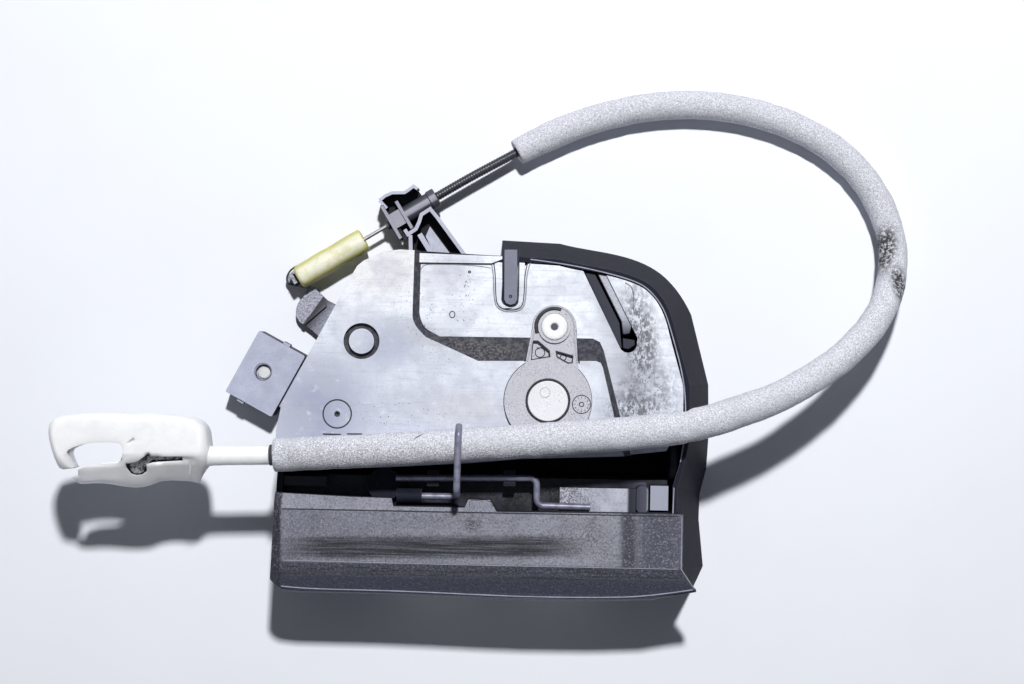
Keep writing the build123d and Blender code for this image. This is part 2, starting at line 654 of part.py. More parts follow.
with BuildPart() as rod_clips:
    # half-round rests that carry the sliding rod
    for x in (-14.0, 20.0):
        y = -41.3 + (x + 30.4) * 1.1 / 62.5
        with BuildSketch(Plane.XY.offset(TRENCH_Z)):
            with Locations((x, y)):
                Rectangle(5.0, 7.0)
        extrude(amount=ROD_Z - TRENCH_Z + 0.6)
        with BuildSketch(Plane.YZ.offset(x - 4)):
            with Locations((y, ROD_Z)):
                Circle(ROD_R + 0.3)
        extrude(amount=8, mode=Mode.SUBTRACT)
rod_clips.part.label = "rod_clips"

with BuildPart() as hook_sleeve:
    with BuildSketch(Plane.YZ.offset(-29.8)):
        with Locations((-49.2, ROD_Z - 1)):
            Circle(3.3)
            Circle(ROD_R + RUN, mode=Mode.SUBTRACT)
    extrude(amount=11)
    with BuildSketch(Plane.XY.offset(TRENCH_Z)):
        with Locations((-24.3, -50.6)):
            Rectangle(9, 3.4)
    extrude(amount=7.0)
    with BuildSketch(Plane.YZ.offset(-31)):
        with Locations((-49.2, ROD_Z - 1)):
            Circle(ROD_R + RUN)
    extrude(amount=14, mode=Mode.SUBTRACT)
hook_sleeve.part.label = "hook_rod_sleeve"

with BuildPart() as hook_rod:
    add(rod([(-29.8, -49.2, ROD_Z - 1), (-3.0, -49.2, ROD_Z - 1), (-2.6, -44.0, OVER_Z),
             (-2.2, -19.5, OVER_Z), (-2.2, -16.6, OVER_Z - 4.2)], ROD_R, 2.4))
hook_rod.part.label = "hook_rod"

# ================================================================ lock train
with BuildPart() as lock_lever:
    with BuildSketch(Plane.XY.offset(DECK_Z + 0.3)):
        with Locations((LOCK_X, LOCK_Y)):
            Circle(LOCK_R)
        with BuildLine():
            Polyline((25.9, 10.0), (28.4, 24.0), (30.0, 31.0), (47.0, 31.0), (48.2, 24.0),
                     (49.2, 8.6), close=True)
        make_face()
        with Locations((LOCK_X + 2.3, LOCK_Y + LOCK_REACH)):
            Circle(9.6)
    extrude(amount=2.0)
    # trim the arm to the eye
    with BuildSketch(Plane.XY.offset(DECK_Z)):
        with Locations((LOCK_X + 2.3, LOCK_Y + LOCK_REACH)):
            Rectangle(40, 40, align=(Align.CENTER, Align.MIN))
            Circle(9.6, mode=Mode.SUBTRACT)
    extrude(amount=4, mode=Mode.SUBTRACT)
    # pockets in the arm on both sides of its rib
    with BuildSketch(Plane.XY.offset(DECK_Z)):
        with BuildLine():
            Polyline((29.2, 20.6), (31.4, 20.6), (36.4, 16.4), (36.8, 13.9), (28.6, 12.4), close=True)
        make_face()
        with BuildLine():
            Polyline((39.3, 16.4), (46.8, 14.4), (46.6, 11.4), (44.7, 11.2), (39.9, 13.8), close=True)
        make_face()
    extrude(amount=4, mode=Mode.SUBTRACT)
    # collar of the roller
    with BuildSketch(Plane.XY.offset(DECK_Z + 2.3)):
        with Locations((LOCK_X + 2.3, LOCK_Y + LOCK_REACH)):
            Circle(7.2)
    extrude(amount=1.0)
    with Locations((LOCK_X + 2.3, LOCK_Y + LOCK_REACH, DECK_Z + 3.3)):
        Hole(5.9, 6)
    # groove round the hub
    with BuildSketch(Plane.XY.offset(DECK_Z + 1.3)):
        with Locations((LOCK_X, LOCK_Y)):
            Circle(9.9)
    extrude(amount=2, mode=Mode.SUBTRACT)
    # shaft that carries the lever and its gear
    with BuildSketch(Plane.XY.offset(GEAR_Z - 2)):
        with Locations((LOCK_X, LOCK_Y)):
            Circle(SHAFT_R)
    extrude(amount=DECK_Z + 0.4 - GEAR_Z + 2)
lock_lever.part.label = "lock_lever"

with BuildPart() as lock_hub:
    with BuildSketch(Plane.XY.offset(DECK_Z + 1.3)):
        with Locations((LOCK_X, LOCK_Y)):
            Circle(8.9)
    extrude(amount=1.9)
    fillet(lock_hub.faces().sort_by(Axis.Z)[-1].edges(), 0.5)
lock_hub.part.label = "lock_lever_hub"

with BuildPart() as lock_roller:
    with BuildSketch(Plane.XY.offset(DECK_Z - 0.7)):
        with Locations((LOCK_X + 2.3, LOCK_Y + LOCK_REACH)):
            Circle(5.8)
    extrude(amount=5.0)
    fillet(lock_roller.faces().sort_by(Axis.Z)[-1].edges(), 0.9)
    with Locations((LOCK_X + 2.3, LOCK_Y + LOCK_REACH, DECK_Z + 4.3)):
        Hole(1.65, 8)
lock_roller.part.label = "lock_lever_roller"

with BuildPart() as lock_gear:
    with BuildSketch(Plane.XY.offset(GEAR_Z)):
        with Locations((LOCK_X, LOCK_Y)):
            add(gear_face(GEAR_TEETH, SHAFT_R + 0.02))
    extrude(amount=GEAR_T)
    # only the half that meets the pinion has teeth
    with BuildSketch(Plane.XY.offset(GEAR_Z - 1)):
        with Locations((LOCK_X, LOCK_Y)):
            Circle(40)
            Circle(9.0, mode=Mode.SUBTRACT)
            Rectangle(60, 26, align=(Align.MAX, Align.CENTER), mode=Mode.SUBTRACT)
    extrude(amount=GEAR_T + 2, mode=Mode.SUBTRACT)
lock_gear.part.label = "lock_gear"

with BuildPart() as motor_pinion:
    with BuildSketch(Plane.XY.offset(GEAR_Z - 1)):
        with Locations(Location((PINION_X, LOCK_Y), 180 / PINION_TEETH)):
            add(gear_face(PINION_TEETH, SPINDLE_R + 0.01))
    extrude(amount=GEAR_T + 2)
motor_pinion.part.label = "motor_pinion"

CAN_LOW = FLOOR + 0.6  # underside of the motor's can
CAN_L = 26.0
with BuildPart() as lock_motor:
    with BuildSketch(Plane.XY.offset(CAN_LOW)):
        with Locations((PINION_X, LOCK_Y)):
            Circle(MOTOR_R)
            Rectangle(30, 19.5, mode=Mode.INTERSECT)
    extrude(amount=CAN_L)
    with BuildSketch(Plane.XY.offset(CAN_LOW + CAN_L)):
        with Locations((PINION_X, LOCK_Y)):
            Circle(4.0)
    extrude(amount=2.0)
    # room for the rotor and its shaft
    with BuildSketch(Plane.XY.offset(CAN_LOW + 3.0)):
        with Locations((PINION_X, LOCK_Y)):
            Circle(ROTOR_R + 0.4)
    extrude(amount=CAN_L - 5.0, mode=Mode.SUBTRACT)
    with BuildSketch(Plane.XY.offset(CAN_LOW + 1.0)):
        with Locations((PINION_X, LOCK_Y)):
            Circle(SPINDLE_R + RUN)
    extrude(amount=CAN_L + 4.0, mode=Mode.SUBTRACT)
lock_motor.part.label = "lock_motor"

with BuildPart() as motor_rotor:
    with BuildSketch(Plane.XY.offset(CAN_LOW + 3.6)):
        with Locations((PINION_X, LOCK_Y)):
            Circle(ROTOR_R)
            with PolarLocations(ROTOR_R, 3):
                Rectangle(4.0, 1.2, mode=Mode.SUBTRACT)
    extrude(amount=CAN_L - 6.2)
    with BuildSketch(Plane.XY.offset(CAN_LOW + 1.2)):
        with Locations((PINION_X, LOCK_Y)):
            Circle(SPINDLE_R)
    extrude(amount=GEAR_Z + GEAR_T + 2.0 - CAN_LOW - 1.2)
motor_rotor.part.label = "motor_rotor"

# ================================================================ release lever and cable end
with BuildPart() as release_lever:
    with BuildSketch(Plane.XY.offset(RELEASE_Z)):
        with BuildLine():
            Polyline((-50.0, 12.6), (-63.4, 23.4), (-69.9, 20.2), (-74.1, 23.8), (-77.4, 26.1))
            Spline((-77.4, 26.1), (-81.2, 29.7), (-81.6, 33.0), (-78.6, 39.0))
            Polyline((-78.6, 39.0), (-76.4, 43.0), (-81.0, 44.2))
            Spline((-81.0, 44.2), (-84.3, 45.2), (-86.0, 47.6), (-83.6, 51.2), (-80.0, 54.1),
                   (-76.4, 55.0))
            Polyline((-76.4, 55.0), (-79.4, 50.4), (-80.6, 47.4), (-78.4, 45.6), (-73.6, 44.2),
                     (-67.0, 38.0), (-42.0, 26.0))
            ThreePointArc((-42.0, 26.0), (-38.6, 17.0), (-50.0, 12.6))
        make_face()
        with Locations((RELEASE_X, RELEASE_Y)):
            Circle(4.0 + RUN, mode=Mode.SUBTRACT)
    extrude(amount=2.0)
    # finger that the cable's end is hooked on
    with BuildSketch(Plane.XY.offset(RELEASE_Z + 2.0)):
        with Locations(Location((-82.0, 47.4), CABLE_TURN)):
            Rectangle(1.8, 5.0)
    extrude(amount=9.0)
    # upturned edge that stiffens the arm outside the housing
    with BuildSketch(Plane.XY.offset(RELEASE_Z + 2.0)):
        with BuildLine():
            Polyline((-77.4, 26.1), (-67.2, 35.2), (-68.4, 36.5), (-78.9, 27.1), close=True)
        make_face()
    extrude(amount=1.6)
release_lever.part.label = "release_lever"

with BuildPart() as release_axle:
    with BuildSketch(Plane.XY.offset(FLOOR)):
        with Locations((RELEASE_X, RELEASE_Y)):
            Circle(4.0)
    extrude(amount=DECK_Z - SKIN - 3 - FLOOR)
    # shoulder over the lever
    with BuildSketch(Plane.XY.offset(RELEASE_Z + 2.3)):
        with Locations((RELEASE_X, RELEASE_Y)):
            Circle(6.5)
    extrude(amount=6.0)
release_axle.part.label = "release_axle"

CABLE = Plane(origin=(*CABLE_EXIT, CABLE_Z),
              x_dir=(math.cos(math.radians(CABLE_TURN)), math.sin(math.radians(CABLE_TURN)), 0),
              z_dir=(0, 0, 1))
ALONG = Plane(origin=CABLE.origin, z_dir=-CABLE.x_dir)  # looks back down the cable
FERRULE_L = 25.0       # from the conduit back to the core's mouth
BARREL_L, BARREL_R = 16.6, 4.0
NECK = 7.4             # side of the square neck between the two clip plates
CLIP_T = 1.5           # thickness of the clip plates
CLIP_NEAR_W, CLIP_FAR_W = 14.6, 17.4
CLIP_HIGH = 5.4        # how far they stand over the cable's centre line
SLEEVE_NEAR, SLEEVE_FAR = 39.2, 71.0

with BuildPart() as cable_ferrule:
    # round barrel with a step and an end collar
    with BuildSketch(ALONG):
        Circle(BARREL_R)
    extrude(amount=BARREL_L)
    with BuildSketch(ALONG):
        Circle(BARREL_R + 0.5)
    extrude(amount=4.0)
    chamfer(cable_ferrule.edges().filter_by(GeomType.CIRCLE).sort_by(SortBy.RADIUS)[-2:], 0.4)
    # square neck between two clip plates
    with BuildSketch(ALONG.offset(BARREL_L)):
        Rectangle(NECK, 2 * CLIP_HIGH - 1.6)
    extrude(amount=FERRULE_L - BARREL_L)
    for along, width in ((BARREL_L, CLIP_NEAR_W), (FERRULE_L - CLIP_T, CLIP_FAR_W)):
        with BuildSketch(ALONG.offset(along)):
            Rectangle(width, 2 * CLIP_HIGH)
        extrude(amount=CLIP_T)
    with BuildSketch(ALONG.offset(FERRULE_L)):
        Circle(2.0)
    extrude(amount=2.0)
    with BuildSketch(ALONG.offset(-1)):
        Circle(CORE_R + 0.25)
    extrude(amount=FERRULE_L + 5, mode=Mode.SUBTRACT)
cable_ferrule.part.label = "cable_ferrule"

with BuildPart() as cable_core:
    with BuildSketch(ALONG.offset(13.0)):
        Circle(CORE_R)
    extrude(amount=50.0)
cable_core.part.label = "cable_core"

with BuildPart() as cable_sleeve:
    with BuildSketch(ALONG.offset(SLEEVE_NEAR)):
        Circle(5.5)
        Circle(CORE_R, mode=Mode.SUBTRACT)
    extrude(amount=SLEEVE_FAR - SLEEVE_NEAR)
    chamfer(cable_sleeve.edges().filter_by(GeomType.CIRCLE).sort_by(SortBy.RADIUS)[-2:], 0.7)
    with BuildSketch(ALONG.offset(63.0)):
        Circle(CORE_R + 0.01)
    extrude(amount=SLEEVE_FAR - 63.0)
cable_sleeve.part.label = "cable_sleeve"

BRACKET_LOW, BRACKET_HIGH = 3.4, 16.0
RIBS = [  # walls of the bracket seen from above: points of the centre line, thickness
    ([(-42.5, 84.4), (-40.0, 86.5), (-36.8, 88.0), (-31.0, 88.2), (-29.0, 89.6), (-26.9, 91.3),
      (-25.0, 90.0)], 1.4),
    ([(-42.5, 84.4), (-39.1, 80.8)], 1.4),
    ([(-30.6, 71.2), (-29.1, 68.9), (-25.4, 71.5), (-24.0, 74.7), (-23.0, 78.2), (-19.0, 80.9),
      (-15.8, 77.2), (-0.8, 57.4)], 1.7),
    ([(-23.7, 69.2), (-16.3, 57.6)], 2.4),
    ([(-27.9, 68.6), (-27.5, 58.0)], 1.8),
]
with BuildPart() as cable_bracket:
    # floor of the bracket, from the housing wall to under the ferrule
    with BuildSketch(Plane.XY.offset(BRACKET_LOW)):
        with BuildLine():
            Polyline((-28.4, 58.0), (-28.6, 66.0), (-31.6, 70.0), (-41.8, 83.6), (-40.0, 87.0),
                     (-31.0, 88.6), (-26.9, 91.0), (-25.0, 89.8), (-18.2, 81.2), (-0.4, 57.6), close=True)
        make_face()
    extrude(amount=1.6)
    # broad rib between the arms
    with BuildSketch(Plane.XY.offset(BRACKET_LOW)):
        with BuildLine():
            Polyline((-15.6, 57.0), (-21.0, 68.4), (-19.1, 73.0), (-6.9, 57.2), close=True)
        make_face()
    extrude(amount=9.4)
    for points, thickness in RIBS:
        with BuildSketch(Plane.XY.offset(BRACKET_LOW)):
            with BuildLine():
                Polyline(*points)
            trace(line_width=thickness)
        extrude(amount=BRACKET_HIGH - BRACKET_LOW)
    # seat against the housing's wall
    with BuildSketch(Plane.XY):
        with BuildLine():
            Polyline(*UPRIGHT[-2:], FOOT[len(UPRIGHT)], (14.6, 40.0), (-30.0, 40.0), close=True)
        make_face()
    extrude(amount=20, mode=Mode.SUBTRACT)
    # room for the ferrule's barrel and its clip plates
    with BuildSketch(ALONG.offset(-3)):
        Circle(BARREL_R + 0.5 + FIT)
    extrude(amount=BARREL_L + 3, mode=Mode.SUBTRACT)
    with BuildSketch(ALONG.offset(BARREL_L - FIT)):
        Rectangle(CLIP_NEAR_W + 2 * FIT, 2 * CLIP_HIGH + 2 * FIT)
    extrude(amount=CLIP_T + 2 * FIT, mode=Mode.SUBTRACT)
    with BuildSketch(ALONG.offset(BARREL_L)):
        Rectangle(NECK + 2 * FIT, 2 * CLIP_HIGH + 2 * FIT)
    extrude(amount=FERRULE_L - BARREL_L, mode=Mode.SUBTRACT)
    with BuildSketch(ALONG.offset(FERRULE_L - CLIP_T - FIT)):
        Rectangle(CLIP_FAR_W + 2 * FIT, 2 * CLIP_HIGH + 2 * FIT)
    extrude(amount=CLIP_T + 3, mode=Mode.SUBTRACT)
cable_bracket.part.label = "cable_bracket"

# ================================================================ cable on its route
RADII = corner_radii(ROUTE)
print("cable corner radii:", [round(r) for r in RADII])


def tube(points, radii, radius, bore=0.0):
    """Round tube along the cable's runs and arcs; prints its volume against section x length."""
    with BuildPart() as hose:
        with BuildLine():
            path = FilletPolyline(*points, radius=radii)
        with BuildSketch(Plane(origin=path @ 0, z_dir=path % 0)):
            Circle(radius)
            if bore:
                Circle(bore, mode=Mode.SUBTRACT)
        sweep(path=path)
    section = math.pi * (radius ** 2 - bore ** 2)
    print("tube length", round(path.length, 1), "volume ratio",
          round(hose.part.volume / (section * path.length), 4))
    return hose.part


with BuildPart() as cable_conduit:
    add(tube(ROUTE, RADII, CONDUIT_R))
cable_conduit.part.label = "cable_conduit"

with BuildPart() as foam_sleeve:
    add(tube([FOAM_START] + ROUTE[3:], RADII[2:], FOAM_R, CONDUIT_R + 0.25))
foam_sleeve.part.label = "foam_sleeve"

FITTING = Plane(origin=ROUTE[-1], x_dir=(math.cos(math.radians(FITTING_TURN)),
                                         math.sin(math.radians(FITTING_TURN)), 0),
                z_dir=(0, 0, 1))
STEM_L, STEM_R = 29.0, 4.2
CORE_STROKE = 10.5     # how far the core's end travels
SHELL_LOW, SHELL_SHOULDER, SHELL_HIGH = -9.0, 4.5, 9.0
CHANNEL_LOW, CHANNEL_HIGH = -3.5, 3.2
# the shell seen from above, clockwise: along the stem from its end, and across it
SHELL = [
    (-0.5, 3.6), (3.3, 8.4), (5.0, 12.6), (9.4, 11.3), (21.5, 10.7), (24.5, 12.4), (31.9, 14.1),
    (38.4, 13.1), (44.4, 11.7), (50.5, 11.4), (56.3, 12.0), (57.9, 10.7), (61.7, 5.0),
    (65.1, 3.8), (69.8, -15.4), (61.3, -19.2), (45.7, -19.5), (24.1, -18.8), (9.0, -17.7),
    (0.2, -14.1), (-1.2, -4.2),
]
SHELL_BENDS = [(4, 10), (15, 19)]
RECESS = [(36.0, 2.3), (43.4, 2.5), (49.8, 3.0), (54.0, 4.4), (56.6, 5.4), (58.8, 1.4), (60.0, -3.0),
          (57.0, -4.8), (52.6, -6.2), (47.0, -7.0), (40.6, -7.0), (34.6, -6.2)]
WINDOW = [(9.8, -0.3), (9.8, 1.5), (22.4, 2.0), (25.4, 2.8), (26.0, 6.0), (28.4, 7.5), (31.0, 7.8),
          (33.2, 7.0), (34.6, 4.1), (34.4, 2.2), (32.0, 2.5), (29.0, 1.4), (26.4, -0.6), (24.2, -2.2),
          (23.2, -0.6)]
AXIS = Plane(origin=FITTING.origin, z_dir=FITTING.x_dir)

with BuildPart() as end_fitting:
    with BuildSketch(AXIS):
        Circle(STEM_R)
    extrude(amount=STEM_L)
    # shell with a drawn-in crown
    with BuildSketch(FITTING.offset(SHELL_LOW)):
        with Locations((STEM_L, 0)):
            add(outline(SHELL, SHELL_BENDS))
    extrude(amount=SHELL_SHOULDER - SHELL_LOW)
    with BuildSketch(FITTING.offset(SHELL_SHOULDER)):
        with Locations((STEM_L, 0)):
            add(outline(SHELL, SHELL_BENDS))
    with BuildSketch(FITTING.offset(SHELL_HIGH)):
        with Locations((STEM_L, 0)):
            add(outline(inset(SHELL, 2.6), SHELL_BENDS))
    loft(ruled=True)
    # recess in the crown, and the window over the hook
    for shape in (RECESS, WINDOW):
        with BuildSketch(FITTING.offset(CHANNEL_LOW)):
            with Locations((STEM_L, 0)):
                add(outline(shape))
        extrude(amount=SHELL_HIGH - CHANNEL_LOW + 1, mode=Mode.SUBTRACT)
    with BuildSketch(FITTING.offset(SHELL_HIGH - 2.0)):
        with Locations(Location((STEM_L + 31.6, -8.4), 35)):
            SlotOverall(3.6, 1.6)
    extrude(amount=3.0, mode=Mode.SUBTRACT)
    # channel that the core's hook travels in, under the crown
    for low, high, near, far in ((4.0, 48.0, -1.5, 1.9), (22.0, 36.0 + CORE_STROKE, -1.5, 8.4)):
        with BuildSketch(FITTING.offset(CHANNEL_LOW)):
            with Locations((STEM_L + (low + high) / 2, (near + far) / 2)):
                Rectangle(high - low, far - near)
        extrude(amount=CHANNEL_HIGH - CHANNEL_LOW, mode=Mode.SUBTRACT)
    with BuildSketch(AXIS.offset(-1)):
        Circle(1.4)
    extrude(amount=STEM_L + 12, mode=Mode.SUBTRACT)
end_fitting.part.label = "end_fitting"

with BuildPart() as core_end:
    with BuildSketch(AXIS.offset(STEM_L - 14)):
        Circle(CORE_R)
    extrude(amount=34)
    with BuildSketch(FITTING.offset(-2.0)):
        with BuildLine():
            Polyline((STEM_L + 10.0, -0.9), (STEM_L + 24.0, -0.9), (STEM_L + 27.0, -0.4),
                     (STEM_L + 33.6, 1.8), (STEM_L + 33.6, 4.0))
            ThreePointArc((STEM_L + 33.6, 4.0), (STEM_L + 30.2, 7.2), (STEM_L + 27.0, 4.2))
            Polyline((STEM_L + 27.0, 4.2), (STEM_L + 24.0, 1.3), (STEM_L + 10.0, 1.2),
                     (STEM_L + 10.0, -0.9))
        make_face()
    extrude(amount=4.0)
core_end.part.label = "core_end"

# ================================================================ connector
with BuildPart() as connector_shell:
    with BuildSketch(CONNECTOR.offset(CONNECTOR_LOW)):
        RectangleRounded(CONNECTOR_L, CONNECTOR_W, 0.8)
    extrude(amount=CONNECTOR_HIGH - CONNECTOR_LOW)
    # mouth for the plug, on the side away from the housing
    with BuildSketch(CONNECTOR.offset(CONNECTOR_LOW + 2.0)):
        with Locations((0, 5.0)):
            Rectangle(CONNECTOR_L - 4.0, CONNECTOR_W - 7.0)
    extrude(amount=8.4, mode=Mode.SUBTRACT)
    # round well in the top
    with BuildSketch(CONNECTOR.offset(CONNECTOR_HIGH)):
        with Locations((0.2, 1.0)):
            Circle(3.7)
    extrude(amount=-3.0, mode=Mode.SUBTRACT)
    # neck into the housing
    with BuildSketch(CONNECTOR.offset(NECK_LOW)):
        with Locations((0, -CONNECTOR_W / 2 - 4.0)):
            Rectangle(NECK_W, 8.4)
    extrude(amount=NECK_T)
    # latching nibs on both ends
    with BuildSketch(CONNECTOR.offset(9.0)):
        with Locations((CONNECTOR_L / 2 + 0.5, -2.0), (-CONNECTOR_L / 2 - 0.5, 4.0)):
            Rectangle(1.4, 3.4)
    extrude(amount=6.0)
connector_shell.part.label = "connector_shell"

with BuildPart() as connector_plug:
    with BuildSketch(CONNECTOR.offset(CONNECTOR_HIGH - 3.0)):
        with Locations((0.2, 1.0)):
            Circle(2.9)
    extrude(amount=0.8)
connector_plug.part.label = "connector_well_plug"

with BuildPart() as connector_pins:
    for level in (5.2, 8.4):
        with BuildSketch(CONNECTOR.offset(level)):
            with Locations((0, -1.7)):
                with GridLocations(3.5, 1, 7, 1):
                    Rectangle(0.8, 8.0)
        extrude(amount=0.8)
connector_pins.part.label = "connector_pins"

PIECES = [
    housing, cover, pivot_boss, pivot_plug, latch_body, trench_tray, latch_plate, claw_pin, pawl_pin,
    claw, pawl, claw_spring, pawl_spring, mouth_buffer, latch_cover, face_seal,
    rod_bush, lock_link, rod_clips, hook_sleeve, hook_rod, lock_lever, lock_hub,
    lock_roller, lock_gear, motor_pinion, lock_motor, motor_rotor, release_lever, release_axle,
    cable_ferrule, cable_core, cable_sleeve, cable_bracket, cable_conduit, foam_sleeve,
    end_fitting, core_end, connector_shell, connector_plug, connector_pins,
]
os.makedirs("parts", exist_ok=True)
for piece in PIECES:
    export_step(piece.part, f"parts/{piece.part.label}.step")
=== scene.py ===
import json
import math
from functools import reduce

import bmesh
import bpy
from bpy.props import FloatProperty, FloatVectorProperty, PointerProperty
from mathutils import Matrix, Vector, noise


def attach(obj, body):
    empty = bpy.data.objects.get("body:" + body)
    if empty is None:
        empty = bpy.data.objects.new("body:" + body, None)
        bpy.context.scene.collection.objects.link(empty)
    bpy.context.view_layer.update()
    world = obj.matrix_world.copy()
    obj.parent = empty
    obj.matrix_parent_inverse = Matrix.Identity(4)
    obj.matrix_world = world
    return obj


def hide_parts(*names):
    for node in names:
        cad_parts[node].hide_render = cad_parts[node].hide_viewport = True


bl_info = {
    "name": "Door Latch Dressing",
    "version": (1, 0, 0),
    "blender": (4, 5, 0),
    "location": "View3D > Sidebar > Latch",
    "description": "Finishes, cable, fittings, moulding marks and stage of a car door latch",
    "category": "Object",
}

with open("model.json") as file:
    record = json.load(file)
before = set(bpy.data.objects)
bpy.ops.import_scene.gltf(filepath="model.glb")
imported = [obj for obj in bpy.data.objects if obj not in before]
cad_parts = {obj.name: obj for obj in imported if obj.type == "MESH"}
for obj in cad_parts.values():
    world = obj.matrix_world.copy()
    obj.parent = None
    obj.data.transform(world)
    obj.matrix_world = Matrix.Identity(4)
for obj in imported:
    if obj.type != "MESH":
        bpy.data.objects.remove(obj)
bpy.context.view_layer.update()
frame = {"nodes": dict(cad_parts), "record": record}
MM = 0.001


def tone(red, green, blue):
    """A screen colour of 0 to 255 as the linear colour that shaders use."""
    def linear(value):
        value /= 255
        return value / 12.92 if value <= 0.04045 else ((value + 0.055) / 1.055) ** 2.4
    return (linear(red), linear(green), linear(blue))


# ------------------------------------------------------------------ route and places, millimetres
ROUTE = [
    (-16.2, 87.0, 11.0), (-3.0, 95.089, 11.0), (9.8, 102.3, 10.2), (33.6, 115.8, 8.1),
    (53.9, 124.2, 7.6), (74.1, 130.0, 7.5), (101.2, 133.1, 7.5), (127.0, 130.7, 7.5),
    (152.8, 122.8, 7.5), (174.1, 109.8, 7.6), (188.5, 92.8, 7.9), (196.0, 74.1, 9.5),
    (196.1, 57.5, 16.0), (189.9, 39.5, 29.0), (176.1, 22.4, 40.0), (158.2, 8.7, 47.0),
    (138.9, -2.1, 52.5), (118.5, -9.4, 57.5), (98.2, -15.6, 61.5), (76.5, -18.2, 64.3),
    (50.4, -20.8, 65.4), (15.6, -23.7, 65.4), (-19.2, -26.9, 63.4), (-54.1, -29.3, 62.7),
    (-82.4, -31.1, 62.7),
]
CABLE_TURN = 31.5      # degrees, heading of the cable where it leaves the bracket
FITTING_TURN = 181.8   # degrees, heading of the end fitting
STEM_L = 29.0          # length of the end fitting's stem
FOAM_FROM = 43.0       # length of bare conduit before the foam
PATH_STEP = 4.0        # spacing of the conduit's stated path
# outline of the end fitting's shell: along the fitting from its stem, and across it
SHELL = [
    (-0.5, 3.6), (3.3, 8.4), (5.0, 12.6), (9.4, 11.3), (21.5, 10.7), (24.5, 12.4), (31.9, 14.1),
    (38.4, 13.1), (44.4, 11.7), (50.5, 11.4), (56.3, 12.0), (57.9, 10.7), (61.7, 5.0),
    (65.1, 3.8), (69.8, -15.4), (61.3, -19.2), (45.7, -19.5), (24.1, -18.8), (9.0, -17.7),
    (0.2, -14.1), (-1.2, -4.2),
]
SHELL_MIDDLE = (33.0, -3.5)
# heights: the crown, the top of the straight wall, and the lowest crown over a full wall
CROWN, WALL_TOP, SLIM = 8.8, 3.4, 5.3
# rings of the shell, upwards: height, and how far the outline is drawn in
SHELL_RINGS = ((-9.0, 1.6), (-8.2, 0.5), (-6.5, 0.0), (WALL_TOP, 0.0), (5.6, 0.5), (7.2, 1.3), (8.3, 2.3),
               (CROWN, 3.4))
# openings of the shell in the same terms as its outline
RECESS = [(36.0, 2.3), (43.4, 2.5), (49.8, 3.0), (54.0, 4.4), (56.6, 5.4), (58.8, 1.4), (60.0, -3.0),
          (57.0, -4.8), (52.6, -6.2), (47.0, -7.0), (40.6, -7.0), (34.6, -6.2)]
WINDOW = [(9.8, -0.3), (9.8, 1.5), (22.4, 2.0), (25.4, 2.8), (26.0, 6.0), (28.4, 7.5), (31.0, 7.8),
          (33.2, 7.0), (34.6, 4.1), (34.4, 2.2), (32.0, 2.5), (29.0, 1.4), (26.4, -0.6), (24.2, -2.2),
          (23.2, -0.6)]
NOTCH = [(55.2, 4.0), (66.5, 5.3), (66.5, 9.2), (60.2, 9.2), (56.0, 7.4)]
SLIT = [(29.9, -7.9), (30.5, -9.0), (33.4, -7.0), (32.8, -5.9)]
CHANNELS = [[(4.0, -1.5), (48.0, -1.5), (48.0, 1.9), (4.0, 1.9)],
            [(22.0, -1.5), (46.5, -1.5), (46.5, 8.4), (22.0, 8.4)]]
DECK_Z, PANEL_Z, RIM_Z, LEVER_Z = 55.0, 49.0, 50.0, 57.3
BED_Z = PANEL_Z + 0.2  # lines round the bed of the clip tongue
LOCK_AXIS, EYE, CLOCK, PLUG = (36.2, -5.6), (38.5, 27.0), (51.0, -6.8), (-56.3, -13.0)


# ------------------------------------------------------------------ settings
class LatchSizes(bpy.types.PropertyGroup):
    """Sizes that a user may change."""
    foam_on_deck: FloatProperty(name="Foam on deck", description="Radius of the foam where it lies on the deck",
                                default=0.0073, unit="LENGTH")
    foam_on_loop: FloatProperty(name="Foam on loop", description="Radius of the foam round the loop",
                                default=0.0066, unit="LENGTH")
    conduit: FloatProperty(name="Conduit", description="Radius of the conduit", default=0.0021, unit="LENGTH")
    winding: FloatProperty(name="Winding pitch", description="Spacing of the conduit's windings",
                           default=0.0013, unit="LENGTH")
    sleeve: FloatProperty(name="Cable end sleeve", description="Radius of the soft sleeve on the cable's end",
                          default=0.0056, unit="LENGTH")
    key_power: FloatProperty(name="Key lamp", description="Power of the key lamp in watts",
                             default=21.0, subtype="POWER")
    key_size: FloatProperty(name="Key lamp size", description="Side of the key lamp",
                            default=0.077, unit="LENGTH")


class LatchColours(bpy.types.PropertyGroup):
    """Colours that a user may change."""
    black: FloatVectorProperty(name="Black plastic", description="Mouldings of the casing",
                               default=tone(26, 28, 38), subtype="COLOR", min=0, max=1)
    # the deck colour is a painted sheen over the black plastic of the level faces
    deck: FloatVectorProperty(name="Deck painted sheen", description="Painted sheen on the deck's level faces",
                              default=tone(210, 214, 229), subtype="COLOR", min=0, max=1)
    foam: FloatVectorProperty(name="Foam", description="Foam sleeve", default=tone(224, 226, 235),
                              subtype="COLOR", min=0, max=1)
    # the sleeve colour is the painted highlight along the top of the vinyl sleeve
    sleeve: FloatVectorProperty(name="Cable end sleeve", description="Aged soft vinyl",
                                default=tone(236, 235, 216), subtype="COLOR", min=0, max=1)
    white: FloatVectorProperty(name="White fitting", description="End fitting of the cable",
                               default=tone(245, 246, 248), subtype="COLOR", min=0, max=1)
    steel: FloatVectorProperty(name="Rod steel", description="Bent rods of the trench",
                               default=tone(126, 127, 146), subtype="COLOR", min=0, max=1)
    floor: FloatVectorProperty(name="Floor", description="Tabletop", default=tone(240, 243, 250),
                               subtype="COLOR", min=0, max=1)


def sizes():
    return bpy.context.scene.latch_sizes


def colours():
    return bpy.context.scene.latch_colours


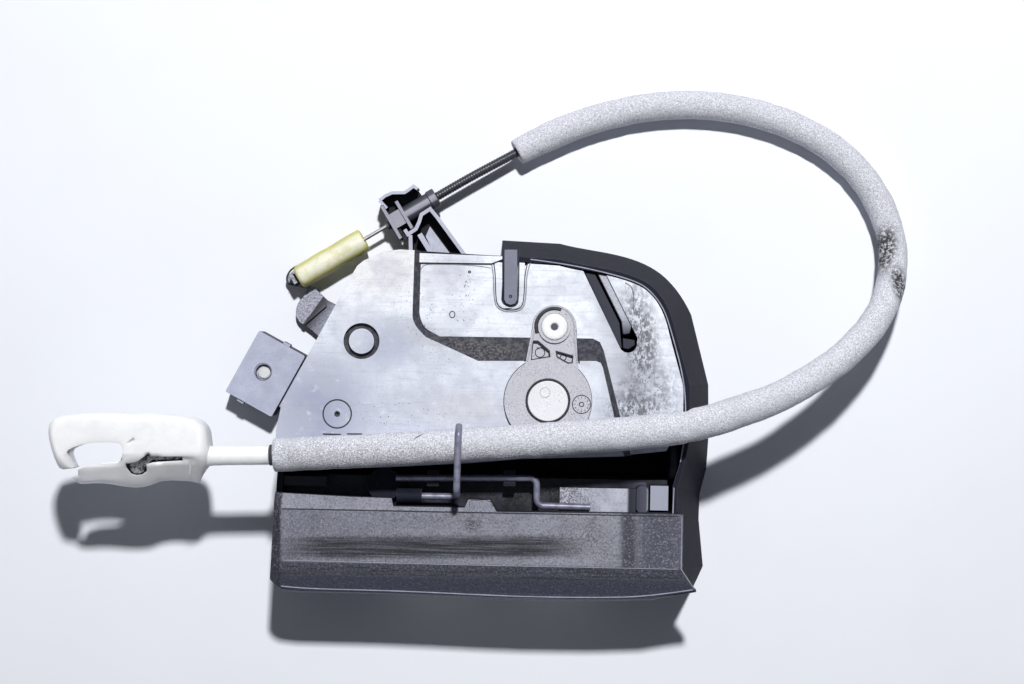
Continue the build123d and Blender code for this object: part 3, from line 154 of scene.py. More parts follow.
# ------------------------------------------------------------------ finishes
class Finish:
    """Node tree of one finish. Places in it are millimetres in the frame of the part."""

    def __init__(self, name):
        self.material = bpy.data.materials.new(name)
        self.material.use_nodes = True
        self.tree = self.material.node_tree
        self.shader = self.tree.nodes["Principled BSDF"]
        self.coords = self.make("TexCoord")
        self.place = self.make("VectorMath", {0: self.coords.outputs["Object"], "Scale": 1 / MM},
                               operation="SCALE").outputs[0]
        self.x, self.y, self.z = self.make("SeparateXYZ", {0: self.place}).outputs
        self.up = self.make("SeparateXYZ", {0: self.coords.outputs["Normal"]}).outputs[2]

    def make(self, kind, sockets=(), **settings):
        node = self.tree.nodes.new("ShaderNode" + kind)
        for key, value in settings.items():
            setattr(node, key, value)
        for key, value in dict(sockets).items():
            if isinstance(value, bpy.types.NodeSocket):
                self.tree.links.new(value, node.inputs[key])
            else:
                node.inputs[key].default_value = value
        return node

    def calc(self, operation, first, second=0.0, third=0.0):
        return self.make("Math", {0: first, 1: second, 2: third}, operation=operation).outputs[0]

    def product(self, *factors):
        """Masks and amounts multiplied together."""
        return reduce(lambda first, second: self.calc("MULTIPLY", first, second), factors)

    def larger(self, *masks):
        """The largest of the masks at each place."""
        return reduce(lambda first, second: self.calc("MAXIMUM", first, second), masks)

    def span(self, value, low, high):
        """0 at low and 1 at high, eased between them. Low may be the larger."""
        return self.make("MapRange", {0: value, 1: low, 2: high}, interpolation_type="SMOOTHSTEP").outputs[0]

    def band(self, value, low, high, soft):
        """1 between low and high, with edges that soft."""
        return self.product(self.span(value, low - soft, low + soft),
                            self.span(value, high + soft, high - soft))

    def spread(self, value, low, high, first=0.0, last=1.0):
        """Low where the value is first and high where it is last, evenly between them."""
        return self.make("MapRange", {0: value, 1: first, 2: last, 3: low, 4: high}).outputs[0]

    def grain(self, size, stretch=(1, 1, 1), detail=3.0, roughness=0.6):
        """Noise from 0 to 1 with features of about that size."""
        place = self.place
        if tuple(stretch) != (1, 1, 1):
            place = self.make("Mapping", {0: self.place, 3: [1 / s for s in stretch]}).outputs[0]
        return self.make("TexNoise", {"Vector": place, "Scale": 1 / size, "Detail": detail,
                                      "Roughness": roughness}).outputs[0]

    def spot(self, centre, radii, turn=0.0, inner=0.4):
        """1 inside an ellipse seen from above, fading to 0 at its rim."""
        moved = self.make("VectorMath", {0: self.place, 1: (*centre, 0.0)}, operation="SUBTRACT").outputs[0]
        turned = self.make("VectorRotate", {"Vector": moved, "Angle": math.radians(-turn)},
                           rotation_type="Z_AXIS").outputs[0]
        shrunk = self.make("VectorMath", {0: turned, 1: (1 / radii[0], 1 / radii[1], 0.0)},
                           operation="MULTIPLY").outputs[0]
        far = self.make("VectorMath", {0: shrunk}, operation="LENGTH").outputs["Value"]
        return self.span(far, 1.0, inner)

    def blend(self, factor, first, second):
        """The first colour where the factor is 0 and the second where it is 1."""
        def paint(value):
            return value if isinstance(value, bpy.types.NodeSocket) else (*value[:3], 1.0)
        return self.make("Mix", {0: factor, 6: paint(first), 7: paint(second)}, data_type="RGBA").outputs[2]

    def layers(self, paint, *coats):
        """Paint with coats over it, lowest first. A coat is its colour and the masks that let it show."""
        for colour, *masks in coats:
            paint = self.blend(self.product(*masks), paint, colour)
        return paint

    def bumps(self, height, depth, rounded=0.0):
        """Surface relief of that depth in millimetres, with edges softened by the rounded radius."""
        sockets = {"Height": height, "Distance": depth * MM}
        if rounded:
            sockets["Normal"] = self.make("Bevel", {"Radius": rounded * MM}, samples=4).outputs[0]
        self.put("Normal", self.make("Bump", sockets).outputs[0])

    def worn_edge(self, radius):
        """1 on sharp edges and 0 on open faces."""
        soft = self.make("Bevel", {"Radius": radius * MM}, samples=4).outputs[0]
        true = self.make("NewGeometry").outputs["Normal"]
        same = self.make("VectorMath", {0: soft, 1: true}, operation="DOT_PRODUCT").outputs["Value"]
        return self.span(same, 0.995, 0.88)

    def put(self, socket, value):
        target = self.shader.inputs[socket]
        if isinstance(value, bpy.types.NodeSocket):
            self.tree.links.new(value, target)
        elif hasattr(value, "__len__"):
            target.default_value = tuple(value) if target.type == "VECTOR" else (*value[:3], 1.0)
        else:
            target.default_value = value

    def done(self, paint, roughness, shine=0.5, relief=(), more=()):
        """The material, once its paint, roughness, shine, relief and other values are in the shader."""
        values = {"Base Color": paint, "Roughness": roughness, "Specular IOR Level": shine, **dict(more)}
        for socket, value in values.items():
            self.put(socket, value)
        if relief:
            self.bumps(*relief)
        return self.material


def scaled(colour, factor):
    return tuple(min(1.0, part * factor) for part in colour)


def moulded(name, dark, pale, worn=0.35, above=-100.0, shine=0.2):
    """Black moulding with a pale painted sheen on the faces that look up, over a given height."""
    f = Finish(name)
    mottle = f.grain(7.0)
    fine = f.grain(0.5, detail=4)
    # pale coat on the upward faces: painted sheen
    top = f.layers(f.blend(f.span(mottle, 0.3, 0.75), scaled(pale, 0.82), pale),
                   (scaled(pale, 0.66), f.span(fine, 0.45, 0.72)))
    paint = f.layers(f.blend(f.span(mottle, 0.35, 0.7), scaled(dark, 0.8), scaled(dark, 1.3)),
                     (top, f.span(f.up, 0.9, 0.985), f.span(f.z, above - 0.6, above)),
                     (tone(140, 142, 156), f.worn_edge(0.25), worn))
    return f.done(paint, f.spread(mottle, 0.55, 0.75), shine, (fine, 0.05, 0.25))


def deck_finish():
    """The cover: pale with painted sheen on its deck and panel, dark in its step and grooves, dirty near the
    slot.
    """
    f = Finish("deck_painted_sheen")
    pale = tuple(colours().deck)
    streaks = f.grain(1.1, stretch=(16, 1, 1), detail=4)
    mottle = f.grain(5.0, detail=4)
    climb = f.span(f.calc("MULTIPLY_ADD", f.x, 0.15, f.y), -34, 52)
    speckled = f.larger(f.spot((-30, -12), (40, 10), 0, 0.2), f.spot((-2, 40), (8, 24), 0, 0.2),
                        f.spot((-18, 26), (14, 30), 30, 0.2))
    # dirt that has run down the panel beside the slot
    dusty = f.span(f.grain(1.1, stretch=(1, 1.8, 1), detail=2), 0.48, 0.55)
    clouds = f.span(f.grain(3.4, detail=5, roughness=0.75), 0.44, 0.54)
    run = f.larger(f.spot((77, 22), (11, 36), 8, 0.2), f.spot((76, -10), (20, 15), 0, 0.2),
                   f.product(f.spot((84, -4), (16, 24), 0, 0.1), 0.6))
    wash = f.larger(f.spot((72, 14), (17, 42), 10, 0.1), f.spot((64, 33), (9, 24), 24, 0.1))
    # painted sheen: the pale level faces, brighter towards +Y and mottled in broad patches; the dark specks and
    # the run dirt over it are real
    top = f.layers(
        f.blend(climb, scaled(pale, 0.9), scaled(pale, 1.36)),
        (tone(156, 160, 184), f.spot((-66, -12), (40, 34), 60, 0.1), 0.9),
        (tone(232, 232, 234), f.spot((-36, 54), (34, 28), 0, 0.2)),
        (tone(216, 218, 228), f.spot((-8, 48), (20, 14), 0, 0.1)),
        (tone(184, 190, 207), f.spot((-34, 18), (25, 17), 20, 0.2)),
        (tone(192, 195, 204), f.spot((-18, 22), (22, 8), -24, 0.1)),
        (tone(206, 207, 213), f.spot((0, -10), (30, 12), 0, 0.1)),
        (scaled(pale, 0.74), f.span(f.grain(17.0, detail=2), 0.44, 0.6), 0.4),
        (scaled(pale, 0.66), f.span(mottle, 0.45, 0.68), 0.3),
        (scaled(pale, 1.3), f.span(mottle, 0.42, 0.3), 0.3),
        (scaled(pale, 0.55), f.span(streaks, 0.5, 0.72), 0.3),
        (scaled(pale, 0.5), f.span(f.grain(0.9, detail=3, roughness=0.7), 0.52, 0.75), 0.4),
        (tone(58, 56, 60), f.span(f.grain(0.9, detail=1), 0.70, 0.72), speckled, 0.8),
        (tone(158, 162, 172), wash, 0.6),
        (tone(134, 137, 146), clouds, run, 0.75),
        (tone(86, 86, 93), dusty, run, 0.8),
        (tone(92, 92, 98), f.spot((72, 0), (8, 9), 0, 0.1), f.span(f.grain(2.8, detail=4), 0.38, 0.6), 0.8))
    raised = f.larger(f.span(f.z, DECK_Z - 0.35, DECK_Z - 0.1), f.band(f.z, PANEL_Z - 0.3, PANEL_Z + 1.6, 0.1))
    paint = f.layers(
        f.blend(f.span(f.grain(2.2, detail=5), 0.42, 0.64), tone(46, 47, 56), tone(78, 78, 84)),
        (tone(104, 101, 100), f.span(f.grain(1.0, detail=5), 0.5, 0.6), f.spot((0, 16), (40, 8), 0, 0.3)),
        (top, f.span(f.up, 0.93, 0.99), raised),
        (tone(196, 198, 210), f.worn_edge(0.3), 0.25))
    return f.done(paint, f.spread(streaks, 0.42, 0.6), 0.2, (f.blend(0.5, f.grain(0.6), streaks), 0.06, 0.3))


def lid_finish():
    """The latch cover: an upper strip paler, dusty and with painted sheen, a scuffed slope, and a foot and ends
    darkened with painted shade.
    """
    f = Finish("lid_scuffs_and_shade")
    fine = f.grain(0.85, detail=3, roughness=0.7)
    streaks = f.grain(1.0, stretch=(30, 1, 1), detail=4, roughness=0.75)
    # rubbed band along the middle
    across = f.calc("SUBTRACT", f.y, f.calc("MULTIPLY_ADD", f.x, 0.022, -71.6))
    band = f.product(f.band(across, -3.0, 5.5, 1.8), f.band(f.x, -72, 44, 16))
    # painted shade: dark bands across the curved right end
    ends = f.larger(f.band(f.x, 69.5, 76.5, 2.0), f.product(f.band(f.x, 82, 93, 3), 0.5))
    # amount of pale specks, growing up the slope: dusty specks and painted sheen
    dust_and_sheen = f.product(f.spread(f.y, 0.12, 0.4, -84.0, -80.0), f.calc("MULTIPLY_ADD", band, -0.8, 1.0))
    # painted sheen and shade: the upper strip paler, the foot, the ends and faces turned from the top darker;
    # the rubbed band, its streaks and the spots are scuffs and dirt
    paint = f.layers(
        f.blend(f.span(f.x, -80, 60), tone(114, 116, 128), tone(134, 136, 147)),
        (tone(136, 138, 150), f.span(f.y, -56.0, -54.8)),
        (tone(88, 90, 99), f.span(f.grain(9.0), 0.4, 0.7), 0.35),
        (tone(66, 67, 74), band, 0.8),
        (tone(22, 23, 27), f.span(streaks, 0.36, 0.58), band, 0.95),
        (tone(82, 81, 85), f.span(f.grain(0.8, detail=5), 0.48, 0.58),
         f.spot((54, -66), (20, 12), -10, 0.2), 0.6),
        (tone(58, 58, 63), f.span(f.grain(1.2, detail=5), 0.42, 0.56),
         f.spot((4, -60.5), (6, 4.5), 0, 0.2), 0.9),
        (tone(46, 48, 58), ends, 0.9),
        (tone(66, 69, 82), f.span(f.x, 74, 80), 0.85),
        (tone(78, 80, 91), f.span(f.y, -77.2, -78.6)),
        (tone(50, 51, 58), f.span(f.y, -78, -80), f.span(streaks, 0.45, 0.65)),
        (tone(64, 67, 80), f.span(f.y, -83.4, -85.8)),
        (tone(44, 46, 56), f.span(f.x, -79.6, -81.0)),
        (tone(170, 171, 181), f.span(fine, 0.52, 0.66), dust_and_sheen),
        (tone(40, 41, 48), f.span(fine, 0.48, 0.36), 0.5),
        (tone(40, 42, 52), f.span(f.up, 0.62, 0.42)),
        # painted highlight: a pale line along the lower edge
        (tone(140, 142, 156), f.band(f.z, 49.9, 51.0, 0.15), f.span(f.y, -86, -88), 0.75),
        (tone(150, 152, 164), f.worn_edge(0.35), 0.4))
    return f.done(paint, f.spread(streaks, 0.5, 0.7), 0.2, (f.blend(0.4, fine, streaks), 0.08, 0.3))


def trench_finish():
    """The latch block and its tray: near black, with pale painted sheen and dusty specks on the shelf's level
    faces.
    """
    f = Finish("trench_dust_and_sheen")
    grit = f.grain(0.7, detail=6, roughness=0.75)
    flat = f.span(f.up, 0.9, 0.98)
    # the shelf's pale level faces are painted sheen, with dirt and grit over them
    shelf = f.layers(
        f.blend(f.span(f.grain(6.0), 0.35, 0.7), tone(190, 192, 207), tone(166, 168, 182)),
        (tone(62, 60, 60), f.span(grit, 0.44, 0.56), f.span(f.x, 66, 46), 0.85),
        (tone(118, 117, 122), f.span(grit, 0.5, 0.62), 0.4),
        (tone(160, 164, 180), f.span(f.x, 81, 82), f.span(grit, 0.72, 0.5)))
    column = f.blend(f.span(f.x, 74, 81), tone(46, 48, 58), tone(78, 80, 94))
    paint = f.layers(
        f.blend(f.span(f.grain(5.0), 0.35, 0.7), tone(26, 27, 33), tone(50, 51, 60)),
        (shelf, f.span(f.z, 41.5, 42.6), f.span(f.x, 24, 28), flat),
        (column, f.band(f.x, 73, 81.5, 0.8), f.span(f.y, -41, -43)),
        (tone(44, 44, 50), flat, f.spot((-71, -43.6), (12, 3.4), 0, 0.4)),
        (tone(96, 92, 88), f.spot((30, -48), (34, 8), 0, 0.2), f.span(grit, 0.5, 0.6), 0.5))
    return f.done(paint, 0.6, 0.15, (grit, 0.08, 0.25))


def lever_finish(name, base, speck):
    """Pale acetal with a fine grain, a few dark specks, and painted shade on faces that turn from the top."""
    f = Finish(name)
    fine = f.grain(0.42, detail=4)
    paint = f.layers(f.blend(f.span(fine, 0.4, 0.66), base, speck),
                     (scaled(base, 0.88), f.span(f.grain(8.0), 0.4, 0.75)),
                     (tone(72, 70, 72), f.span(f.grain(1.1, detail=1), 0.745, 0.755)),
                     # painted shade on faces that turn from the top
                     (scaled(speck, 0.45), f.span(f.up, 0.8, 0.3)))
    return f.done(paint, 0.5, relief=(fine, 0.05, 0.3))


def metal_finish(name, base, worn, roughness=(0.28, 0.5), metallic=0.85, draw=(1, 1, 1), size=3.5):
    """Plated or drawn steel, with duller patches and fine draw marks."""
    f = Finish(name)
    patch = f.grain(size, detail=4)
    lines = f.grain(0.35, stretch=draw, detail=3)
    paint = f.layers(f.blend(f.span(patch, 0.42, 0.66), base, worn),
                     (scaled(worn, 0.6), f.span(lines, 0.45, 0.7), 0.4))
    return f.done(paint, f.spread(patch, *roughness), relief=(lines, 0.02, 0.2), more={"Metallic": metallic})


def foam_finish():
    """Grey closed-cell foam with torn pores, a grimy bend and a shallow slit."""
    f = Finish("foam_cells")
    base = tuple(colours().foam)
    cells = f.make("TexVoronoi", {"Vector": f.place, "Scale": 1 / 0.7}).outputs["Distance"]
    rough = f.grain(0.6, detail=4, roughness=0.8)
    bend = f.larger(f.spot((191, 66), (8, 17), -14, 0.3), f.spot((196, 50), (6, 13), 8, 0.3))
    paint = f.layers(
        f.blend(f.span(rough, 0.38, 0.6), scaled(base, 1.18), scaled(base, 0.62)),
        (scaled(base, 0.4), f.span(cells, 0.5, 0.75), 0.45),
        (scaled(base, 0.74), f.span(f.grain(14.0), 0.4, 0.7), 0.35),
        (tone(52, 51, 54), bend, f.span(f.grain(1.6, detail=5, roughness=0.7), 0.36, 0.56)),
        (tone(104, 98, 92), f.span(f.y, -22, -29), f.band(f.x, -80, 60, 10), f.span(rough, 0.45, 0.6), 0.5),
        (tone(92, 90, 90), f.spot((-19.6, -21.5), (3.2, 0.35), 32, 0.4)))
    return f.done(paint, 0.95, relief=(f.blend(0.5, rough, cells), 0.35))


def two_tone(name, size, full, first, second, roughness, relief=()):
    """Two close colours mottled by noise. Relief is the size and the depth of a light grain."""
    f = Finish(name)
    paint = f.blend(f.span(f.grain(size), 0.4, full), first, second)
    return f.done(paint, roughness, relief=relief and (f.grain(relief[0]), relief[1]))


def vinyl_finish():
    """Aged vinyl, yellow along its sides and paler on top with a painted highlight."""
    f = Finish("vinyl_aged")
    # the pale top is a painted highlight along the sleeve
    paint = f.layers(f.blend(f.span(f.up, 0.55, 0.95), tone(196, 193, 108), tuple(colours().sleeve)),
                     (tone(212, 208, 150), f.span(f.grain(3.0, detail=4), 0.45, 0.65), 0.5),
                     (tone(186, 178, 112), f.span(f.grain(0.7, detail=5), 0.52, 0.72), 0.3))
    return f.done(paint, 0.4, relief=(f.grain(1.2), 0.12),
                  more={"Subsurface Weight": 0.2, "Subsurface Scale": 0.002})


def coated_finish():
    """Coated steel of the release lever: a grey face of painted sheen over the dark coat, a fold darkened with
    painted shade, painted shade on faces that turn from the top, and a dark rim.
    """
    f = Finish("coated_steel")
    grit = f.grain(0.8, detail=5)
    past = f.calc("MULTIPLY_ADD", f.x, 0.827, f.calc("MULTIPLY_ADD", f.y, -0.563, 79.6))
    # painted shade: the turned-up part, darker near the fold
    fold = f.layers(f.blend(f.span(past, 1.0, 8.0), tone(52, 53, 62), tone(148, 150, 166)),
                    (tone(44, 44, 52), f.span(grit, 0.45, 0.6), 0.5))
    # the grey face is painted sheen over the dark coat
    paint = f.layers(f.blend(f.span(grit, 0.4, 0.62), tone(178, 180, 196), tone(120, 121, 134)),
                     (fold, f.span(past, 0.0, 0.3)),
                     (tone(30, 31, 38), f.worn_edge(0.4)),
                     (tone(34, 35, 42), f.span(f.up, 0.8, 0.4)))
    return f.done(paint, 0.5, 0.3, (grit, 0.06, 0.4))


def ledge_finish():
    """Ledge inside the key slot, pale with painted sheen, darker towards its lower end."""
    f = Finish("slot_ledge")
    # pale tone: painted sheen
    paint = f.layers(f.blend(f.span(f.y, 34, 24), tone(186, 190, 202), tone(70, 72, 84)),
                     (tone(104, 105, 114), f.span(f.grain(0.8, detail=5), 0.46, 0.6), 0.35),
                     (tone(40, 41, 50), f.worn_edge(0.4)))
    return f.done(paint, 0.5, 0.2, (f.grain(0.6), 0.05, 0.3))


def white_finish():
    """White acetal, faintly mottled, with painted shade on the walls inside the fitting's window."""
    f = Finish("white_acetal")
    base = tuple(colours().white)
    # painted shade inside the window and the slot beside it, on faces low in the fitting or turned downwards
    opening = f.larger(f.spot((-141.6, -35.6), (7.0, 6.2), 0, 0.93),
                       f.spot((-128.3, -33.1), (8.6, 2.0), 1.8, 0.93))
    inner = f.larger(f.span(f.up, 0.5, 0.3), f.span(f.z, 62.5, 61.5))
    paint = f.layers(f.blend(f.span(f.grain(9.0), 0.35, 0.7), base, scaled(base, 0.93)),
                     (tone(206, 208, 214), f.span(f.grain(1.0, detail=5), 0.56, 0.75), 0.14),
                     (tone(46, 46, 50), opening, inner))
    return f.done(paint, 0.42, relief=(f.grain(2.5), 0.05, 0.9), more={
        "Subsurface Weight": 0.6, "Subsurface Radius": (1.0, 1.0, 1.0), "Subsurface Scale": 0.005})


# makers of the finishes, by slot or by a finish's own key
MAKERS = {
    "black_plastic": lambda: moulded("moulding_black", tuple(colours().black), tone(36, 38, 50), 0.5,
                                     shine=0.06),
    # on the bracket the painted sheen shows only on faces above 12.3 mm
    "bracket": lambda: moulded("moulding_pale", tone(22, 23, 30), tone(198, 201, 218), 0.25, 12.3),
    "deck_plastic": deck_finish,
    "lid": lid_finish,
    "trench": trench_finish,
    "hub": lambda: lever_finish("acetal_bright", tone(232, 232, 236), tone(206, 206, 212)),
    "lever_plastic": lambda: lever_finish("acetal_grey", tone(196, 197, 206), tone(150, 150, 158)),
    "connector_plastic": lambda: moulded("moulding_violet", tone(66, 67, 82), tone(190, 194, 216), 0.5),
    "zinc_steel": lambda: metal_finish("zinc_plate", tone(176, 176, 172), tone(128, 128, 124)),
    # on the hook, the bright and black patches are painted glints and reflections
    "hook": lambda: metal_finish("hook_steel", tone(150, 150, 146), tone(24, 24, 26), (0.3, 0.5), 0.7,
                                 size=1.6),
    "claw_steel": lambda: metal_finish("claw_steel", tone(120, 120, 124), tone(84, 84, 88)),
    "rod_steel": lambda: metal_finish("rod_steel", tuple(colours().steel), scaled(colours().steel, 0.6),
                                      (0.36, 0.5), 0.25, (8, 1, 1)),
    "coated_steel": coated_finish,
    "recess": lambda: moulded("moulding_recess", tone(40, 41, 50), tone(58, 60, 72), 0.3),
    "tongue": lambda: moulded("moulding_tongue", tone(44, 46, 56), tone(134, 137, 154), 0.4),
    "ledge": ledge_finish,
    "rubber": lambda: two_tone("soft_rubber", 2.0, 0.7, tone(34, 34, 38), tone(58, 58, 62), 0.75, (0.5, 0.08)),
    # the ferrule's pale crest above 14.9 mm is a painted highlight along its barrel
    "ferrule_plastic": lambda: moulded("ferrule_black", tone(44, 46, 56), tone(152, 154, 168), 0.3, 14.9, 0.9),
    "sleeve_vinyl": vinyl_finish,
    "conduit_black": lambda: two_tone("conduit_black", 0.8, 0.7, tone(30, 31, 38), tone(62, 63, 72), 0.32,
                                      (0.4, 0.03)),
    "foam_grey": foam_finish,
    "white_plastic": white_finish,
    "pin_brass": lambda: metal_finish("tinned_brass", tone(204, 186, 132), tone(160, 140, 92)),
    # dark beads in gaps and grooves: painted shade
    "gap": lambda: two_tone("painted_gap_shade", 1.4, 0.6, tone(30, 30, 36), tone(52, 52, 58), 0.7),
    # pale beads on edges and creases: painted highlights
    "bead": lambda: moulded("painted_edge_highlight", tone(150, 152, 168), tone(172, 174, 190)),
}
# parts whose finish isn't that of their slot
OWN_FINISH = {"latch_cover": "lid", "latch_body": "trench", "trench_tray": "trench", "lock_lever_hub": "hub",
              "cable_bracket": "bracket", "core_end": "hook", "deck_plug": "deck_plastic",
              "release_pivot_boss": "deck_plastic"}
made = {}


def finish_of(key):
    """The finish of that slot or key, made once."""
    if key not in made:
        made[key] = MAKERS[key]()
    return made[key]


# ------------------------------------------------------------------ pieces
def show(name, data, slot, body="root", finish=None):
    """Puts a mesh or curve in the scene as a piece that rides on a body."""
    piece = bpy.data.objects.new(name, data)
    bpy.context.scene.collection.objects.link(piece)
    data.materials.append(finish_of(finish or slot))
    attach(piece, body)
    return piece


def mesh_of(name, points, faces, smooth=True):
    data = bpy.data.meshes.new(name)
    data.from_pydata([tuple(p) for p in points], [], faces)
    tidy = bmesh.new()
    tidy.from_mesh(data)
    bmesh.ops.recalc_face_normals(tidy, faces=tidy.faces)
    tidy.to_mesh(data)
    tidy.free()
    data.polygons.foreach_set("use_smooth", [smooth] * len(data.polygons))
    return data


def skin(rows):
    """Points and faces of a closed skin over rows of points, each row a ring of as many."""
    count = len(rows[0])
    points = [point for row in rows for point in row]
    faces = [tuple(range(count)), tuple(range(len(points) - count, len(points)))]
    faces += [(i + j, i + (j + 1) % count, i + count + (j + 1) % count, i + count + j)
              for i in range(0, len(points) - count, count) for j in range(count)]
    return points, faces


def wire(name, points, kind="NURBS", closed=False):
    """Curve over points in millimetres."""
    data = bpy.data.curves.new(name, "CURVE")
    data.dimensions = "3D"
    spline = data.splines.new(kind)
    spline.points.add(len(points) - 1)
    for spot, point in zip(spline.points, points):
        spot.co = (*[v * MM for v in point], 1.0)
    spline.use_cyclic_u = closed
    if kind == "NURBS":
        spline.order_u = 3
        spline.use_endpoint_u = not closed
    return data


def bead(name, points, radius, slot, body="root", finish=None, closed=False, kind="POLY"):
    """Round wire through points in millimetres."""
    data = wire(name, points, kind, closed)
    data.bevel_depth = radius * MM
    data.bevel_resolution = 3
    data.use_fill_caps = not closed
    return show(name, data, slot, body, finish)


def ring_points(centre, radius, height, count=48, start=0.0, stop=360.0, squash=1.0):
    """Points of a circle or of an arc, stretched along Y by squash."""
    steps = count if stop - start >= 360 else count + 1
    angles = [math.radians(start + (stop - start) * i / count) for i in range(steps)]
    x, y = centre
    return [(x + radius * math.cos(a), y + radius * squash * math.sin(a), height) for a in angles]


def ring(name, centre, radius, height, thick, stuff, count=48, squash=1.0):
    """Closed round bead. Stuff is its slot, body and finish."""
    bead(name, ring_points(centre, radius, height, count, squash=squash), thick, *stuff, closed=True)


def level(height, *places):
    """Places at one height."""
    return [(x, y, height) for x, y in places]


def slab(name, outline, low, high, slot, body="root", finish=None, bevel=0.3):
    """Prism of an outline in millimetres with rounded edges."""
    rows = [[(x * MM, y * MM, z * MM) for x, y in outline] for z in (low, high)]
    piece = show(name, mesh_of(name, *skin(rows)), slot, body, finish)
    soft = piece.modifiers.new("soft edges", "BEVEL")
    soft.width = bevel * MM
    soft.segments = 2
    soft.limit_method = "ANGLE"
    piece.modifiers.new("keep flats", "WEIGHTED_NORMAL")


def turned(name, profile, place, slot, body="root", finish=None, sides=40, wobble=lambda along, angle: 0.0):
    """Round piece from (along, radius) pairs, turned about the X axis of place."""
    rows = []
    for along, radius in profile:
        row = []
        for j in range(sides):
            a = 2 * math.pi * j / sides
            r = radius + wobble(along, a)
            row.append(place @ Vector((along, r * math.cos(a), r * math.sin(a))) * MM)
        rows.append(row)
    return show(name, mesh_of(name, *skin(rows)), slot, body, finish)


def place_at(origin, turn):
    """Matrix in millimetres whose X axis lies in the floor plane at turn degrees."""
    return Matrix.Translation(Vector(origin)) @ Matrix.Rotation(math.radians(turn), 4, "Z")


def eased(value, low, high):
    """0 up to low and 1 from high on, eased between them."""
    share = min(1.0, max(0.0, (value - low) / (high - low)))
    return share * share * (3 - 2 * share)


def rounded_outline(points):
    """Closed outline with its corners cut back twice."""
    for _ in range(2):
        fresh = []
        for (ax, ay), (bx, by) in zip(points, points[1:] + points[:1]):
            fresh += [(ax * near + bx * (1 - near), ay * near + by * (1 - near)) for near in (0.75, 0.25)]
        points = fresh
    return points


def drawn_in(points, distance, middle):
    """Outline with every point moved towards the middle by that distance, or less close to it."""
    centre = Vector(middle)
    rays = [Vector(point) - centre for point in points]
    return [tuple(centre + ray * (1 - distance / max(7.0, ray.length))) for ray in rays]


def baked(piece):
    """Mesh of a piece as its curve or modifiers leave it."""
    bpy.context.view_layer.update()
    return bpy.data.meshes.new_from_object(piece.evaluated_get(bpy.context.evaluated_depsgraph_get()))


def spline_line():
    """Points of the cable's smooth line, read from its NURBS spline, in metres."""
    data = wire("cable line", ROUTE)
    data.resolution_u = 24
    holder = bpy.data.objects.new("cable line", data)
    bpy.context.scene.collection.objects.link(holder)
    flat = baked(holder)
    line = [v.co.copy() for v in flat.vertices]
    bpy.data.objects.remove(holder)
    bpy.data.curves.remove(data)
    bpy.data.meshes.remove(flat)
    return line


def along_line(line, start, step, stop=math.inf):
    """Evenly spaced points of the line between two lengths, each with its length."""
    lengths = [0.0]
    for a, b in zip(line, line[1:]):
        lengths.append(lengths[-1] + (b - a).length)
    stop = min(stop, lengths[-1])
    count = max(2, round((stop - start) / step))
    result, i = [], 0
    for n in range(count + 1):
        want = start + (stop - start) * n / count
        while i < len(lengths) - 2 and lengths[i + 1] < want:
            i += 1
        part = (want - lengths[i]) / max(1e-9, lengths[i + 1] - lengths[i])
        result.append((want, line[i].lerp(line[i + 1], part)))
    return result


def hose(stations, radius_at, sides):
    """Rings round stations of (length, point). Radius_at gets the length, the angle and the point."""
    rows = []
    across = Vector((0, 0, 1))
    angles = [2 * math.pi * j / sides for j in range(sides)]
    for i, (length, point) in enumerate(stations):
        ahead = stations[min(i + 1, len(stations) - 1)][1] - stations[max(i - 1, 0)][1]
        ahead.normalize()
        across = (across - ahead * across.dot(ahead)).normalized()
        other = ahead.cross(across)
        rows.append([point + (across * math.cos(a) + other * math.sin(a)) * radius_at(length, a, point)
                     for a in angles])
    return rows


# slot, body and finish of the marks: the gap finish is painted shade, the bead finish painted highlight
GAP_SHADE = ("black_plastic", "root", "gap")
EDGE_HIGHLIGHT = ("black_plastic", "root", "bead")
BLACK = ("black_plastic", "root", None)
DECK = ("deck_plastic", "root", None)
LEVER = ("lever_plastic", "lock", None)
LEVER_GAP_SHADE = ("lever_plastic", "lock", "gap")


